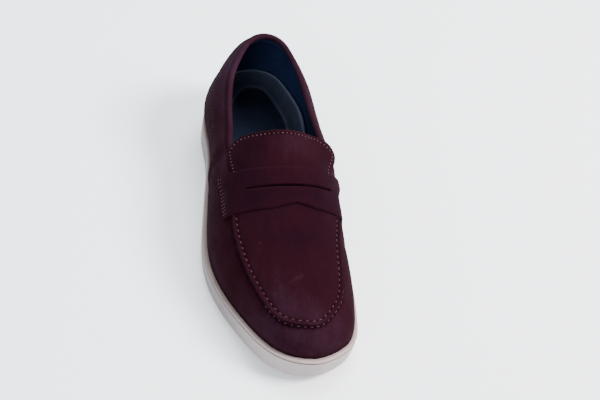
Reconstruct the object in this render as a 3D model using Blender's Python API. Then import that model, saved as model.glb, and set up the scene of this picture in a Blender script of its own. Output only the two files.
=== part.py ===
"""Suede penny loafer, right shoe, standing empty on its sole.

The shoe is built on one smooth last. The feather line, where the suede meets the sole, runs round
the foot in plan, and from each of its points a curved rib runs up to the instep ridge. The ribs
together are the last. Upper, apron, tongue, strap and collar band are trimmed layers of the last,
lifted along its normals. Sole, welt and insole follow the feather line. Sizes are in millimetres,
with x from heel to toe, y to the inner side of the foot and z up.
"""

import math
from collections import namedtuple

import bpy
import numpy as np

# Driving sizes of the last
FEATHER_LENGTH = 288.0      # heel to toe along the line where the suede meets the sole
HEEL_END = 6.0              # that line's heel end
HEEL_RADIUS = 33.0          # plan radius of the feather line at the heel end
TOE_RADIUS = {"outer": 38.0, "inner": 16.0}     # the same at the toe, for each side
HEEL_SWING = 3.0            # how far the heel lies out from the straight axis of the forefoot
SWING_SHARE = 0.60          # share of the length over which that swing dies out

# Half widths of the feather line at shares of its length
Plan = namedtuple("Plan", "share outer inner")
PLAN = [
    Plan(0.08, 30.8, 26.9),
    Plan(0.18, 41.7, 34.0),
    Plan(0.30, 43.0, 34.2),
    Plan(0.42, 47.9, 36.3),
    Plan(0.54, 53.3, 37.8),
    Plan(0.64, 56.5, 38.8),
    Plan(0.72, 55.2, 38.9),
    Plan(0.80, 48.8, 38.2),
    Plan(0.88, 38.9, 34.9),
    Plan(0.95, 27.8, 26.6),
]

# Heights over the floor: feather line, top line of the collar, underside of the sole
Level = namedtuple("Level", "share height")
FEATHER_LEVELS = [
    Level(0.00, 20.0),
    Level(0.20, 18.5),
    Level(0.40, 16.0),
    Level(0.60, 13.6),
    Level(0.72, 14.2),
    Level(0.85, 15.8),
    Level(1.00, 22.4),
]
TOP_LINE = [
    Level(0.00, 80.2),
    Level(0.10, 75.6),
    Level(0.20, 71.1),
    Level(0.30, 62.5),
    Level(0.40, 57.0),
    Level(0.50, 54.5),
    Level(0.62, 54.0),
]

# The instep ridge, carried on over the open collar: height, and offset to the inner side
Ridge = namedtuple("Ridge", "share height inward")
RIDGE = [
    Ridge(0.20, 116.0, -6.5),
    Ridge(0.30, 102.5, -6.5),
    Ridge(0.38, 90.0, -6.3),
    Ridge(0.44, 81.5, -6.0),
    Ridge(0.50, 74.5, -5.4),
    Ridge(0.56, 68.5, -4.5),
    Ridge(0.62, 63.0, -3.4),
    Ridge(0.70, 56.5, -2.0),
    Ridge(0.78, 51.0, -0.8),
    Ridge(0.85, 47.0, 0.0),
    Ridge(0.90, 44.0, 0.5),
]
RIDGE_FROM = 0.22           # share of the ridge that the rib at the heel end runs up to
RIDGE_TO = 0.85             # the same for the rib at the toe

# Shape of a rib: how steeply it rises, how far it reaches over the top, how far it swells out
Rib = namedtuple("Rib", "share rise reach outer_swell inner_swell")
RIBS = [
    Rib(0.00, 0.34, 0.31, 5.6, 5.2),
    Rib(0.10, 0.34, 0.28, 16.0, 9.6),
    Rib(0.20, 0.39, 0.325, 20.0, 8.6),
    Rib(0.40, 0.44, 0.50, 12.7, 15.0),
    Rib(0.60, 0.52, 0.58, 8.5, 7.0),
    Rib(0.80, 0.58, 0.60, 4.5, 1.0),
    Rib(1.00, 0.60, 0.60, 3.5, 2.5),
]

# Length up the ribs from the feather line to the apron seam, outer and inner side
Seam = namedtuple("Seam", "share outer inner")
APRON_SEAM = [
    Seam(0.55, 42.3, 40.7),
    Seam(0.65, 37.5, 34.6),
    Seam(0.75, 31.4, 35.8),
    Seam(0.85, 24.9, 33.0),
    Seam(0.92, 21.0, 30.4),
    Seam(0.97, 20.3, 26.9),
    Seam(1.00, 22.8, 22.8),
]

# Layers, as distances off the last
GAP = 0.3                   # clearance between pieces that touch
UPPER_WALL = 2.0            # suede and lining
COLLAR_PAD = 3.0            # extra thickness of the padded collar
PAD_FADE = (0.42, 0.54)     # shares between which the padding dies out
APRON_THICK = 1.5
APRON_BEAD = 1.0            # extra height of the raised seam round the apron
BEAD_FADE = (0.64, 0.70)    # shares between which the bead grows out from under the strap
BEAD_TOP = 0.18             # width of the bead's top and of the whole bead,
BEAD_FOOT = 0.36            # as shares of the first row of the apron
TONGUE_THICK = 1.6
STRAP_THICK = 1.4
STRAP_LOW = 0.4             # underside of the strap where it lies on the upper
STRAP_HIGH = 2.3            # underside of the strap over apron, tongue and collar band
STRAP_EASE = (-9.0, -1.0)   # lengths up the ribs from the seam between which it climbs
BAND_THICK = 1.0

# Lines on the upper
THROAT_SHARE = 0.604        # front end of the opening, under the strap
OPENING_TURN = 0.50         # share where the top line starts to close towards the throat
BAND_WIDTH = 22.0           # collar band, down from the top line
BAND_END = 0.53             # share where its ends go under the strap
SEAM_BLEND = (0.46, 0.60)   # shares between which the band seam passes over to the apron seam

# Tongue and strap: places along the foot from the heel end, and lengths up the ribs
TONGUE_REAR = 136.8         # rear edge on the ridge
TONGUE_SWEEP = 14.0         # how far back the ends of that edge lie
TONGUE_CORNER = 15.0        # how far its rounded corners draw forward
CORNER_POWER = 8            # how tightly they turn
TONGUE_FRONT = 178.2        # front edge, close behind the apron
TONGUE_SIDE = {"outer": -1.0, "inner": -2.5}    # side edges up from the edge of the opening
TONGUE_FLARE = {"outer": 0.5, "inner": 4.4}     # how far the side edges stand off the last
FLARE_REACH = (0.5, 1.0)    # reaches from the ridge between which they rise
FLARE_FADE = (138.0, 154.0)     # places along the foot where the strap presses them down
STRAP_REAR = 164.5          # rear edge on the ridge
STRAP_REAR_SWEEP = {"outer": 12.5, "inner": 18.0}     # how far back the ends of that edge lie
STRAP_FRONT = 195.5         # front edge on the ridge, before its notch
STRAP_FRONT_SWEEP = {"outer": 4.5, "inner": 7.5}      # how far back the ends of that edge lie
STRAP_NOTCH = 3.7           # depth of the notch in the front edge
STRAP_NOTCH_SPAN = 0.30     # its half width, as a share of half the strap
STRAP_END = {"outer": 32.0, "inner": 25.0}      # height of the ends up the ribs
SLOT_SPAN = 0.60            # half length of the slot, as a share of half the strap
SLOT_HALF = 0.045           # half width of the slot, as a share of the strap's width
SLOT_PLACE = 0.50           # middle of the slot, from the rear edge to the front one

# Sole
SOLE_MARGIN = 3.3           # sole edge out from the feather line
WELT_HEIGHT = 1.7
WELT_BEVEL = 0.5
TREAD_BEVEL = 1.4
WALL_DRAFT = 0.8            # the side wall leans in by this much from top to bottom
ARCH_LIFT = 2.5             # underside of the arch over the floor
ARCH_SHARES = (0.30, 0.56)
SPRING_SHARE = 0.76         # toe spring starts here
SPRING_LIFT = 6.0           # underside of the toe tip over the floor

# Insole
INSOLE_CLEAR = 0.7          # to the lining
FOOTBED_RISE = 3.0          # footbed over the feather line
RIM_RISE = 9.0              # heel rim over the footbed
RIM_WIDTH = 13.0
RIM_TOP = 0.25              # level part of the rim, as a share of its width
RIM_FADE = (0.16, 0.42)     # shares over which the rim runs out

# Mesh densities
SIDE_COLUMNS = 30           # columns from heel to toe on each side
WALL_ROWS = 5               # rows from the feather line to the seam
CROWN_ROWS = 4              # rows from the seam to the top
TONGUE_GRID = (9, 16)
STRAP_COLUMNS = 30
STRAP_ROWS = (0.0, 0.22, SLOT_PLACE - SLOT_HALF, SLOT_PLACE + SLOT_HALF, 0.78, 1.0)
STEP = 1e-3                 # parameter step of numerical slopes
PLACE_ROUNDS = 14           # rounds of the search for a place along the foot
SAMPLES = 161               # points along a rib when a length or a height is looked up
POLE_STEPS = 20             # steps from the ends at which a normal there is taken
WELD = 1e-3                 # points closer than this are one
SHARP_ANGLE = 40.0          # edges that turn more than this are shaded sharp, in degrees

# Colours from the photo: base colour, roughness
Finish = namedtuple("Finish", "red green blue roughness")
SUEDE = Finish(0.045, 0.008, 0.012, 0.95)
PALE_RUBBER = Finish(0.56, 0.52, 0.48, 0.60)
WELT_RUBBER = Finish(0.62, 0.54, 0.50, 0.60)
DARK_FOAM = Finish(0.012, 0.015, 0.024, 0.80)

OUTER, INNER = -1.0, 1.0    # the two sides of the foot


class Curve:
    """Cubic spline through points, free at its ends or level there."""

    def __init__(self, places, values, level_ends=False):
        self.places = np.asarray(places, float)
        self.values = np.asarray(values, float)
        gaps = np.diff(self.places)
        slopes = np.diff(self.values) / gaps
        count = len(self.places)
        matrix = np.eye(count)
        right = np.zeros(count)
        for row in range(1, count - 1):
            matrix[row, row - 1] = gaps[row - 1]
            matrix[row, row] = 2 * (gaps[row - 1] + gaps[row])
            matrix[row, row + 1] = gaps[row]
            right[row] = 6 * (slopes[row] - slopes[row - 1])
        if level_ends:
            matrix[0, :2] = 2 * gaps[0], gaps[0]
            right[0] = 6 * slopes[0]
            matrix[-1, -2:] = gaps[-1], 2 * gaps[-1]
            right[-1] = -6 * slopes[-1]
        self.bends = np.linalg.solve(matrix, right)

    def __call__(self, place):
        place = np.asarray(place, float)
        row = np.clip(np.searchsorted(self.places, place) - 1, 0, len(self.places) - 2)
        gap = self.places[row + 1] - self.places[row]
        before = (self.places[row + 1] - place) / gap
        after = (place - self.places[row]) / gap
        bend = (before**3 - before) * self.bends[row] + (after**3 - after) * self.bends[row + 1]
        return before * self.values[row] + after * self.values[row + 1] + bend * gap**2 / 6


def column(table, name):
    """Spline of one named column of a table over its share column."""
    return Curve([row.share for row in table], [getattr(row, name) for row in table])


def width_curve(name):
    """Half width over the sine of the angle, so that heel and toe close as round ends."""
    angles = [math.acos(1 - 2 * row.share) for row in PLAN]
    ratios = [getattr(row, name) / math.sin(angle) for row, angle in zip(PLAN, angles)]
    heel = math.sqrt(HEEL_RADIUS * FEATHER_LENGTH / 2)
    toe = math.sqrt(TOE_RADIUS[name] * FEATHER_LENGTH / 2)
    return Curve([0.0, *angles, math.pi], [heel, *ratios, toe], level_ends=True)


WIDTHS = {name: width_curve(name) for name in ("outer", "inner")}
SWELLS = {name: column(RIBS, name + "_swell") for name in ("outer", "inner")}
SEAMS = {name: column(APRON_SEAM, name) for name in ("outer", "inner")}
FEATHER_HEIGHT = column(FEATHER_LEVELS, "height")
TOP_HEIGHT = column(TOP_LINE, "height")
RIDGE_HEIGHT = column(RIDGE, "height")
RIDGE_INWARD = column(RIDGE, "inward")
RIB_RISE = column(RIBS, "rise")
RIB_REACH = column(RIBS, "reach")


def by_side(side, pair, place):
    """Value of the outer or the inner curve of a pair, as each side asks."""
    return np.where(side < 0, pair["outer"](place), pair["inner"](place))


def by_name(side, sizes):
    """Size of the outer or the inner side, as each side asks."""
    return np.where(side < 0, sizes["outer"], sizes["inner"])


def fade(place, limits):
    """Smooth step from 0 at the first limit to 1 at the second."""
    share = np.clip((place - limits[0]) / (limits[1] - limits[0]), 0, 1)
    return share * share * (3 - 2 * share)


def share_of(angle):
    """Share of the feather length at an angle: 0 at the heel, 1 at the toe."""
    return (1 - np.cos(angle)) / 2


def angle_of(share):
    """Angle at a share of the feather length."""
    return np.arccos(1 - 2 * np.asarray(share, float))


def feather(angle, side):
    """Point of the feather line."""
    share = share_of(angle)
    width = by_side(side, WIDTHS, angle) * np.sin(angle)
    swing = HEEL_SWING * np.clip(1 - share / SWING_SHARE, 0, 1) ** 2
    along = HEEL_END + FEATHER_LENGTH * share
    return np.stack([along, side * width - swing, FEATHER_HEIGHT(share)], -1)


def outward(angle, side):
    """Level direction straight out from the feather line."""
    run = feather(angle + STEP, side) - feather(angle - STEP, side)
    out = np.stack([-run[..., 1], run[..., 0], np.zeros_like(run[..., 0])], -1)
    out = out * np.asarray(side, float)[..., None]
    return out / np.linalg.norm(out, axis=-1, keepdims=True)


def ridge(share):
    """Point of the instep ridge."""
    along = HEEL_END + FEATHER_LENGTH * share
    return np.stack([along, RIDGE_INWARD(share), RIDGE_HEIGHT(share)], -1)


def crest_of(angle):
    """Share of the ridge that the rib at an angle runs up to, and the ridge's slope there."""
    share = RIDGE_FROM + (RIDGE_TO - RIDGE_FROM) * share_of(angle)
    slope = (RIDGE_HEIGHT(share + STEP) - RIDGE_HEIGHT(share - STEP)) / (2 * STEP * FEATHER_LENGTH)
    return share, slope


def last(angle, side, rise):
    """Point of the last: rise 0 is on the feather line and 1 on the ridge, along one rib."""
    angle, side, rise = np.broadcast_arrays(angle, side, rise)
    share = share_of(angle)
    foot = feather(angle, side)
    crest_share, slope = crest_of(angle)
    crest = ridge(crest_share)
    wall = foot + outward(angle, side) * by_side(side, SWELLS, share)[..., None]
    wall[..., 2] += RIB_RISE(share) * (crest - foot)[..., 2]
    across = crest - foot
    across[..., 2] = slope * across[..., 0]
    shoulder = crest - across * RIB_REACH(share)[..., None]
    up = rise[..., None]
    down = 1 - up
    return down**3 * foot + 3 * down**2 * up * wall + 3 * down * up**2 * shoulder + up**3 * crest


def normal(angle, side, rise):
    """Outward unit normal of the last, taken from the ridge itself along its crest."""
    angle, side, rise = np.broadcast_arrays(angle, side, rise)
    near_angle = np.clip(angle, POLE_STEPS * STEP, math.pi - POLE_STEPS * STEP)
    near_rise = np.clip(rise, 2 * STEP, 1 - 2 * STEP)
    along = last(near_angle + STEP, side, near_rise) - last(near_angle - STEP, side, near_rise)
    up = last(near_angle, side, near_rise + STEP) - last(near_angle, side, near_rise - STEP)
    out = np.cross(along, up) * -side[..., None]
    slope = crest_of(angle)[1]
    crest = np.stack([-slope, np.zeros_like(slope), np.ones_like(slope)], -1)
    out = np.where((rise > 1 - STEP)[..., None], crest, out)
    return out / np.linalg.norm(out, axis=-1, keepdims=True)


def lifted(angle, side, rise, off):
    """Point at a distance off the last."""
    off = np.broadcast_to(off, np.broadcast(angle, side, rise).shape)
    return last(angle, side, rise) + normal(angle, side, rise) * off[..., None]


def rib_points(angle, side):
    """Rises along the ribs, with their points."""
    rises = np.linspace(0, 1, SAMPLES)
    return rises, last(angle[:, None], side[:, None], rises[None, :])


def rib_lengths(angle, side):
    """Rises along the ribs, with the lengths up to them."""
    rises, points = rib_points(angle, side)
    steps = np.linalg.norm(np.diff(points, axis=1), axis=-1)
    return rises, np.concatenate([np.zeros((len(points), 1)), np.cumsum(steps, axis=1)], axis=1)


def rise_at_length(angle, side, length):
    """Rise at a length up each rib."""
    rises, runs = rib_lengths(angle, side)
    lengths = np.broadcast_to(length, len(runs))
    return np.array([np.interp(want, run, rises) for want, run in zip(lengths, runs)])


def length_at_rise(angle, side, rise):
    """Length up each rib at a rise."""
    rises, runs = rib_lengths(angle, side)
    return np.array([np.interp(want, rises, run) for want, run in zip(rise, runs)])


def rise_at_height(angle, side, height):
    """Rise at a height over the floor on each rib."""
    rises, points = rib_points(angle, side)
    return np.array([np.interp(want, rib[:, 2], rises) for want, rib in zip(height, points)])


def opening_rise(angle, side):
    """Rise of the edge of the opening; 1 where both sides meet on the ridge."""
    share = share_of(angle)
    edge = rise_at_height(angle, side, TOP_HEIGHT(np.minimum(share, TOP_LINE[-1].share)))
    closing = np.clip((share - OPENING_TURN) / (THROAT_SHARE - OPENING_TURN), 0, 1)
    return np.where(closing >= 1 - STEP, 1.0, 1 - (1 - edge) * np.sqrt(1 - closing**2))


def seam_rise(angle, side):
    """Rise of the lower edge of the collar band, which runs on as the apron seam."""
    share = share_of(angle)
    top_length = length_at_rise(angle, side, opening_rise(angle, side))
    front_length = by_side(side, SEAMS, np.clip(share, APRON_SEAM[0].share, 1))
    forward = fade(share, SEAM_BLEND)
    rear_length = np.minimum(top_length, front_length + BAND_WIDTH) - BAND_WIDTH
    rear_length = np.where(share < SEAM_BLEND[0], top_length - BAND_WIDTH, rear_length)
    return rise_at_length(angle, side, rear_length + forward * (front_length - rear_length))


def loop_columns():
    """Angles and sides of the columns round the foot: up the outer side, back down the inner one."""
    angles = np.linspace(0, math.pi, SIDE_COLUMNS + 1)
    back = angles[-2:0:-1]
    sides = np.concatenate([np.full(len(angles), OUTER), np.full(len(back), INNER)])
    return np.concatenate([angles, back]), sides


def new_object(name, points, faces, finish):
    """Mesh object from points in millimetres, with one plain material."""
    mesh = bpy.data.meshes.new(name)
    mesh.from_pydata((points / 1000).tolist(), [], faces.tolist())
    mesh.validate()
    mesh.shade_smooth()
    mesh.set_sharp_from_angle(angle=math.radians(SHARP_ANGLE))
    material = bpy.data.materials.new(name)
    material.use_nodes = True
    shader = material.node_tree.nodes["Principled BSDF"]
    shader.inputs["Base Color"].default_value = (finish.red, finish.green, finish.blue, 1)
    shader.inputs["Roughness"].default_value = finish.roughness
    shader.inputs["Metallic"].default_value = 0
    mesh.materials.append(material)
    body = bpy.data.objects.new(name, mesh)
    bpy.context.scene.collection.objects.link(body)
    return body


def welded(points, faces):
    """Points with coincident ones joined, and the faces that keep three corners."""
    keys = np.round(points / WELD).astype(np.int64)
    _, first, index = np.unique(keys, axis=0, return_index=True, return_inverse=True)
    faces = index.reshape(-1)[faces]
    whole = (faces[:, 0] != faces[:, 1]) & (faces[:, 1] != faces[:, 2]) & (faces[:, 2] != faces[:, 0])
    return points[first], faces[whole]


def layer_solid(outer, inner, around=False, holes=None, top_open=None):
    """Closed solid between two grids of points.

    The grids run along the foot and then up or across it. around joins the last column to the
    first. holes marks cells that are left out. top_open marks the columns whose top edge is free:
    the others meet their neighbours there.
    """
    columns, rows = outer.shape[:2]
    spans = columns if around else columns - 1
    points = np.concatenate([outer.reshape(-1, 3), inner.reshape(-1, 3)])
    under = columns * rows
    present = np.ones((spans, rows - 1), bool) if holes is None else ~holes
    free = np.ones(spans, bool) if top_open is None else top_open
    faces = []

    def missing(i, j):
        if around:
            i %= columns
        elif not 0 <= i < spans:
            return True
        if j == rows - 1:
            return free[i]
        return j < 0 or not present[i, j]

    for i in range(spans):
        for j in range(rows - 1):
            if not present[i, j]:
                continue
            after = (i + 1) % columns
            a, b, c, d = i * rows + j, after * rows + j, after * rows + j + 1, i * rows + j + 1
            faces += [(a, b, c), (a, c, d)]
            faces += [(under + a, under + c, under + b), (under + a, under + d, under + c)]
            neighbours = [(a, b, i, j - 1), (b, c, i + 1, j), (c, d, i, j + 1), (d, a, i - 1, j)]
            for start, end, side_i, side_j in neighbours:
                if missing(side_i, side_j):
                    faces += [(start, under + start, under + end), (start, under + end, end)]
    return welded(points, np.array(faces))


def ring_solid(rings, capped):
    """Closed solid through rings round the foot: capped at both ends, or joined last to first."""
    count, columns = len(rings), len(rings[0])
    points = np.concatenate(rings)
    faces = []
    for level in range(count if not capped else count - 1):
        low, high = level * columns, (level + 1) % count * columns
        for i in range(columns):
            after = (i + 1) % columns
            faces += [(low + i, low + after, high + after), (low + i, high + after, high + i)]
    if capped:
        top = (count - 1) * columns
        for i in range(SIDE_COLUMNS):
            outer, outer_next = i, i + 1
            inner, inner_next = -i % columns, -(i + 1) % columns
            faces += [(outer, inner_next, outer_next), (outer, inner, inner_next)]
            faces += [(top + outer, top + outer_next, top + inner_next)]
            faces += [(top + outer, top + inner_next, top + inner)]
    return welded(points, np.array(faces))


def upper_grid():
    """Columns round the foot, and the rises of the rows of the upper from the feather line up."""
    angle, side = loop_columns()
    seam = seam_rise(angle, side)
    top = opening_rise(angle, side)
    wall = seam[:, None] * np.linspace(0, 1, WALL_ROWS + 1)
    crown = seam[:, None] + (top - seam)[:, None] * np.linspace(0, 1, CROWN_ROWS + 1)[1:]
    return angle[:, None], side[:, None], np.concatenate([wall, crown], axis=1)


def open_columns(angle):
    """Spans of columns behind the throat, where the top edge of the upper is free."""
    share = share_of(angle[:, 0])
    limit = THROAT_SHARE + STEP
    return (share < limit) & (np.roll(share, -1) < limit)


def upper():
    """Vamp and quarters: one hollow wall, padded at the collar, open on top and underneath."""
    angle, side, rise = upper_grid()
    rows = np.arange(rise.shape[1])
    padding = COLLAR_PAD * (1 - fade(share_of(angle), PAD_FADE))
    swelling = np.clip((rows - WALL_ROWS) / (CROWN_ROWS - 1), 0, 1)
    outer = lifted(angle, side, rise, 0.0)
    inner = lifted(angle, side, rise, -(UPPER_WALL + padding * swelling))
    drop = np.array([0, 0, WELT_HEIGHT - GAP])
    inside = outer[:, :1] - outward(angle, side) * UPPER_WALL
    outer = np.concatenate([outer[:, :1] - drop, outer], axis=1)
    inner = np.concatenate([inside - drop, inner], axis=1)
    return layer_solid(outer, inner, around=True, top_open=open_columns(angle))


def apron():
    """Plug over the toe and vamp, with the raised bead of its seam along the edge."""
    angle, side, rise = upper_grid()
    front = share_of(angle[:, 0]) > THROAT_SHARE - STEP
    angle, side, rise = angle[front], side[front], rise[front, WALL_ROWS:]
    width = rise[:, 1:2] - rise[:, :1]
    bead = rise[:, :1] + width * np.array([[BEAD_TOP, BEAD_FOOT]])
    rise = np.concatenate([rise[:, :1], bead, rise[:, 1:]], axis=1)
    height = np.zeros(rise.shape[1])
    height[:2] = 1
    raised = APRON_BEAD * fade(share_of(angle), BEAD_FADE) * height
    outer = lifted(angle, side, rise, GAP + APRON_THICK + raised)
    inner = lifted(angle, side, rise, GAP)
    joined = np.zeros(len(angle) - 1, bool)
    return layer_solid(outer, inner, top_open=joined)


def collar_band():
    """Strip round the collar, from its stitched lower edge to just under the top line."""
    angle, side, rise = upper_grid()
    angle, side, rise = (np.roll(grid, SIDE_COLUMNS, axis=0) for grid in (angle, side, rise))
    rear = share_of(angle[:, 0]) < BAND_END
    angle, side, rise = angle[rear], side[rear], rise[rear, WALL_ROWS:-1]
    outer = lifted(angle, side, rise, GAP + BAND_THICK)
    inner = lifted(angle, side, rise, GAP)
    return layer_solid(outer, inner)


def angle_at(along, side, rise_of):
    """Angles whose ribs pass the places along the foot, at the rises that rise_of gives."""
    share = (along - HEEL_END) / FEATHER_LENGTH
    for _ in range(PLACE_ROUNDS):
        reached = last(angle_of(share), side, rise_of(angle_of(share), side))[..., 0]
        share = np.clip(share + (along - reached) / FEATHER_LENGTH, STEP, 1 - STEP)
    return angle_of(share)


def across_grid(rear, front, low_length, spans, rows):
    """Grid over the instep, from rear to front edge and from the outer to the inner side.

    rear and front give the edges' places along the foot at a place across it, from -1 at the
    outer end to 1 at the inner one, and low_length the length up the ribs at which a side ends.
    """
    across = np.linspace(-1, 1, spans + 1)[None, :]
    reach = np.abs(across)
    along = rear(across) + np.asarray(rows)[:, None] * (front(across) - rear(across))
    side = np.broadcast_to(np.where(across < 0, OUTER, INNER), along.shape)

    def rise_of(angle, side):
        flat = angle.ravel(), side.ravel()
        low = rise_at_length(*flat, low_length(*flat)).reshape(angle.shape)
        return 1 - reach * (1 - low)

    angle = angle_at(along, side, rise_of)
    return angle, side, rise_of(angle, side)


def tongue():
    """Rounded flap in the throat, running back from the apron under the strap."""
    def edge_length(angle, side):
        edge = rise_at_height(angle, side, TOP_HEIGHT(share_of(angle)))
        return length_at_rise(angle, side, edge) + by_name(side, TONGUE_SIDE)

    def rear(across):
        return TONGUE_REAR - TONGUE_SWEEP * across**2 + TONGUE_CORNER * across**CORNER_POWER

    def front(across):
        return TONGUE_FRONT + 0 * across

    rows, spans = TONGUE_GRID
    angle, side, rise = across_grid(rear, front, edge_length, spans, np.linspace(0, 1, rows + 1))
    reach = np.abs(np.linspace(-1, 1, spans + 1))
    along = last(angle, side, rise)[..., 0]
    flare = by_name(side, TONGUE_FLARE) * fade(reach, FLARE_REACH) * (1 - fade(along, FLARE_FADE))
    outer = lifted(angle, side, rise, GAP + flare + TONGUE_THICK)
    inner = lifted(angle, side, rise, GAP + flare)
    return layer_solid(outer, inner)


def saddle_strap():
    """Band over the instep with a long slot and a notched front edge, sewn down at its ends."""
    def rear(across):
        return STRAP_REAR - by_name(across, STRAP_REAR_SWEEP) * across**2

    def front(across):
        notch = STRAP_NOTCH * np.clip(1 - np.abs(across) / STRAP_NOTCH_SPAN, 0, 1)
        return STRAP_FRONT - by_name(across, STRAP_FRONT_SWEEP) * across**2 - notch

    def end_length(angle, side):
        return by_name(side, STRAP_END)

    angle, side, rise = across_grid(rear, front, end_length, STRAP_COLUMNS, STRAP_ROWS)
    shape = rise.shape
    length = length_at_rise(angle.ravel(), side.ravel(), rise.ravel()).reshape(shape)
    seam = seam_rise(angle.ravel(), side.ravel())
    seam_length = length_at_rise(angle.ravel(), side.ravel(), seam).reshape(shape)
    climb = fade(length - seam_length, STRAP_EASE)
    under = STRAP_LOW + (STRAP_HIGH - STRAP_LOW) * climb
    centres = np.linspace(-1, 1, STRAP_COLUMNS + 1)[:-1] + 1 / STRAP_COLUMNS
    holes = np.zeros((shape[0] - 1, shape[1] - 1), bool)
    holes[STRAP_ROWS.index(SLOT_PLACE - SLOT_HALF)] = np.abs(centres) < SLOT_SPAN
    outer = lifted(angle, side, rise, under + STRAP_THICK)
    inner = lifted(angle, side, rise, under)
    return layer_solid(outer, inner, holes=holes)


def sole_ring(inset, height):
    """Ring round the sole at an inset from its edge, at heights over the floor."""
    angle, side = loop_columns()
    ring = feather(angle, side) + outward(angle, side) * (SOLE_MARGIN - inset)
    ring[:, 2] = height
    return ring


def underside(share):
    """Height of the tread: flat under heel and forefoot, lifted at the arch and the toe."""
    arch_place = np.clip((share - ARCH_SHARES[0]) / (ARCH_SHARES[1] - ARCH_SHARES[0]), 0, 1)
    spring = np.clip((share - SPRING_SHARE) / (1 - SPRING_SHARE), 0, 1)
    return ARCH_LIFT * np.sin(math.pi * arch_place) ** 2 + SPRING_LIFT * spring**2


def outsole():
    """Moulded rubber unit with an upright side wall."""
    share = share_of(loop_columns()[0])
    floor = underside(share)
    top = FEATHER_HEIGHT(share) - WELT_HEIGHT - GAP
    rings = [
        sole_ring(TREAD_BEVEL + WALL_DRAFT, floor),
        sole_ring(WALL_DRAFT, floor + TREAD_BEVEL),
        sole_ring(0.0, top - WELT_BEVEL),
        sole_ring(WELT_BEVEL, top),
    ]
    return ring_solid(rings, capped=True)


def welt():
    """Strip round the top of the sole, against the foot of the upper."""
    share = share_of(loop_columns()[0])
    top = FEATHER_HEIGHT(share)
    base = top - WELT_HEIGHT
    inside = SOLE_MARGIN - GAP
    rings = [
        sole_ring(inside, base),
        sole_ring(WELT_BEVEL, base),
        sole_ring(0.0, base + WELT_BEVEL),
        sole_ring(0.0, top - WELT_BEVEL),
        sole_ring(WELT_BEVEL, top),
        sole_ring(inside, top),
    ]
    return ring_solid(rings, capped=False)


def insole():
    """Padded footbed inside the upper, with a rim round the heel."""
    share = share_of(loop_columns()[0])
    feather_height = FEATHER_HEIGHT(share)
    edge = SOLE_MARGIN + UPPER_WALL + INSOLE_CLEAR
    footbed = feather_height + FOOTBED_RISE
    rim = footbed + RIM_RISE * (1 - fade(share, RIM_FADE))
    rings = [
        sole_ring(edge, feather_height - WELT_HEIGHT + GAP),
        sole_ring(edge, rim),
        sole_ring(edge + RIM_TOP * RIM_WIDTH, rim),
        sole_ring(edge + RIM_WIDTH, footbed),
    ]
    return ring_solid(rings, capped=True)


PIECES = [
    ("outsole", outsole, PALE_RUBBER),
    ("welt", welt, WELT_RUBBER),
    ("insole", insole, DARK_FOAM),
    ("upper", upper, SUEDE),
    ("apron", apron, SUEDE),
    ("tongue", tongue, SUEDE),
    ("saddle_strap", saddle_strap, SUEDE),
    ("collar_band", collar_band, SUEDE),
]


def main():
    """Build every piece, with the origin under the middle of the whole shoe."""
    for existing in list(bpy.data.objects):
        bpy.data.objects.remove(existing)
    solids = [(name, make(), finish) for name, make, finish in PIECES]
    points = np.concatenate([solid[0] for _, solid, _ in solids])
    middle = (points.min(axis=0) + points.max(axis=0)) / 2
    middle[2] = 0
    for name, (corners, faces), finish in solids:
        new_object(name, corners - middle, faces, finish)


main()
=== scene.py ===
"""Looks of the suede penny loafer: napped suede, moccasin seam, stitching, lining, insole and sole.

The shoe's surface is worked out here again from the sizes of its last, in millimetres, with x from
heel to toe, y to the inner side of the foot and z up. Each piece is a fine version of the plain
solid it stands for, with its creases, puckers, rolled edges and stitches.
"""

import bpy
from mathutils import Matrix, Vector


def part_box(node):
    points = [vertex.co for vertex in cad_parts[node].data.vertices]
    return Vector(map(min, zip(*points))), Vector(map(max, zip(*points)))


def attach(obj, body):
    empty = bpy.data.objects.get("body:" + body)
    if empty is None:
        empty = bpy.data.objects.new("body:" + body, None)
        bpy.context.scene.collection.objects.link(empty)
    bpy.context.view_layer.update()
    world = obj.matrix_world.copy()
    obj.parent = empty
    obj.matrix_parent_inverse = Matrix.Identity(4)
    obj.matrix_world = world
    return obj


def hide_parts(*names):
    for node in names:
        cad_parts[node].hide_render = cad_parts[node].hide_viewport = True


bl_info = {
    "name": "Suede penny loafer",
    "version": (1, 0, 0),
    "blender": (4, 5, 0),
    "location": "View3D > Sidebar > Loafer",
    "description": "Dresses the loafer's frame with suede, stitching, lining, insole, sole and stage",
    "category": "Object",
}

import math
from collections import namedtuple

import bpy
import numpy as np
from mathutils import Matrix, Vector

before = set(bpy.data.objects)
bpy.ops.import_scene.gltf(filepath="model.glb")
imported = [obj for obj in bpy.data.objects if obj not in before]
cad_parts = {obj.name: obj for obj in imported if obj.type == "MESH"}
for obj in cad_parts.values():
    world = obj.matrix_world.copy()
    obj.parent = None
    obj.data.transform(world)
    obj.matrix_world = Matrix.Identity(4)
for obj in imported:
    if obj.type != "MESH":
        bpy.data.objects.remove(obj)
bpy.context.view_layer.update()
MM = 1000.0                 # millimetres in a metre
TONE = "surface_tone"       # attribute of a mesh: the light and shade painted into its colour, lighter or darker at each point

# Driving sizes of the last
FEATHER_LENGTH = 288.0      # heel to toe along the line where the suede meets the sole
HEEL_END = 6.0              # that line's heel end
HEEL_RADIUS = 33.0          # plan radius of the feather line at the heel end
TOE_RADIUS = {"outer": 38.0, "inner": 16.0}     # the same at the toe, for each side
HEEL_SWING = 3.0            # how far the heel lies out from the straight axis of the forefoot
SWING_SHARE = 0.60          # share of the length over which that swing dies out

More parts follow.
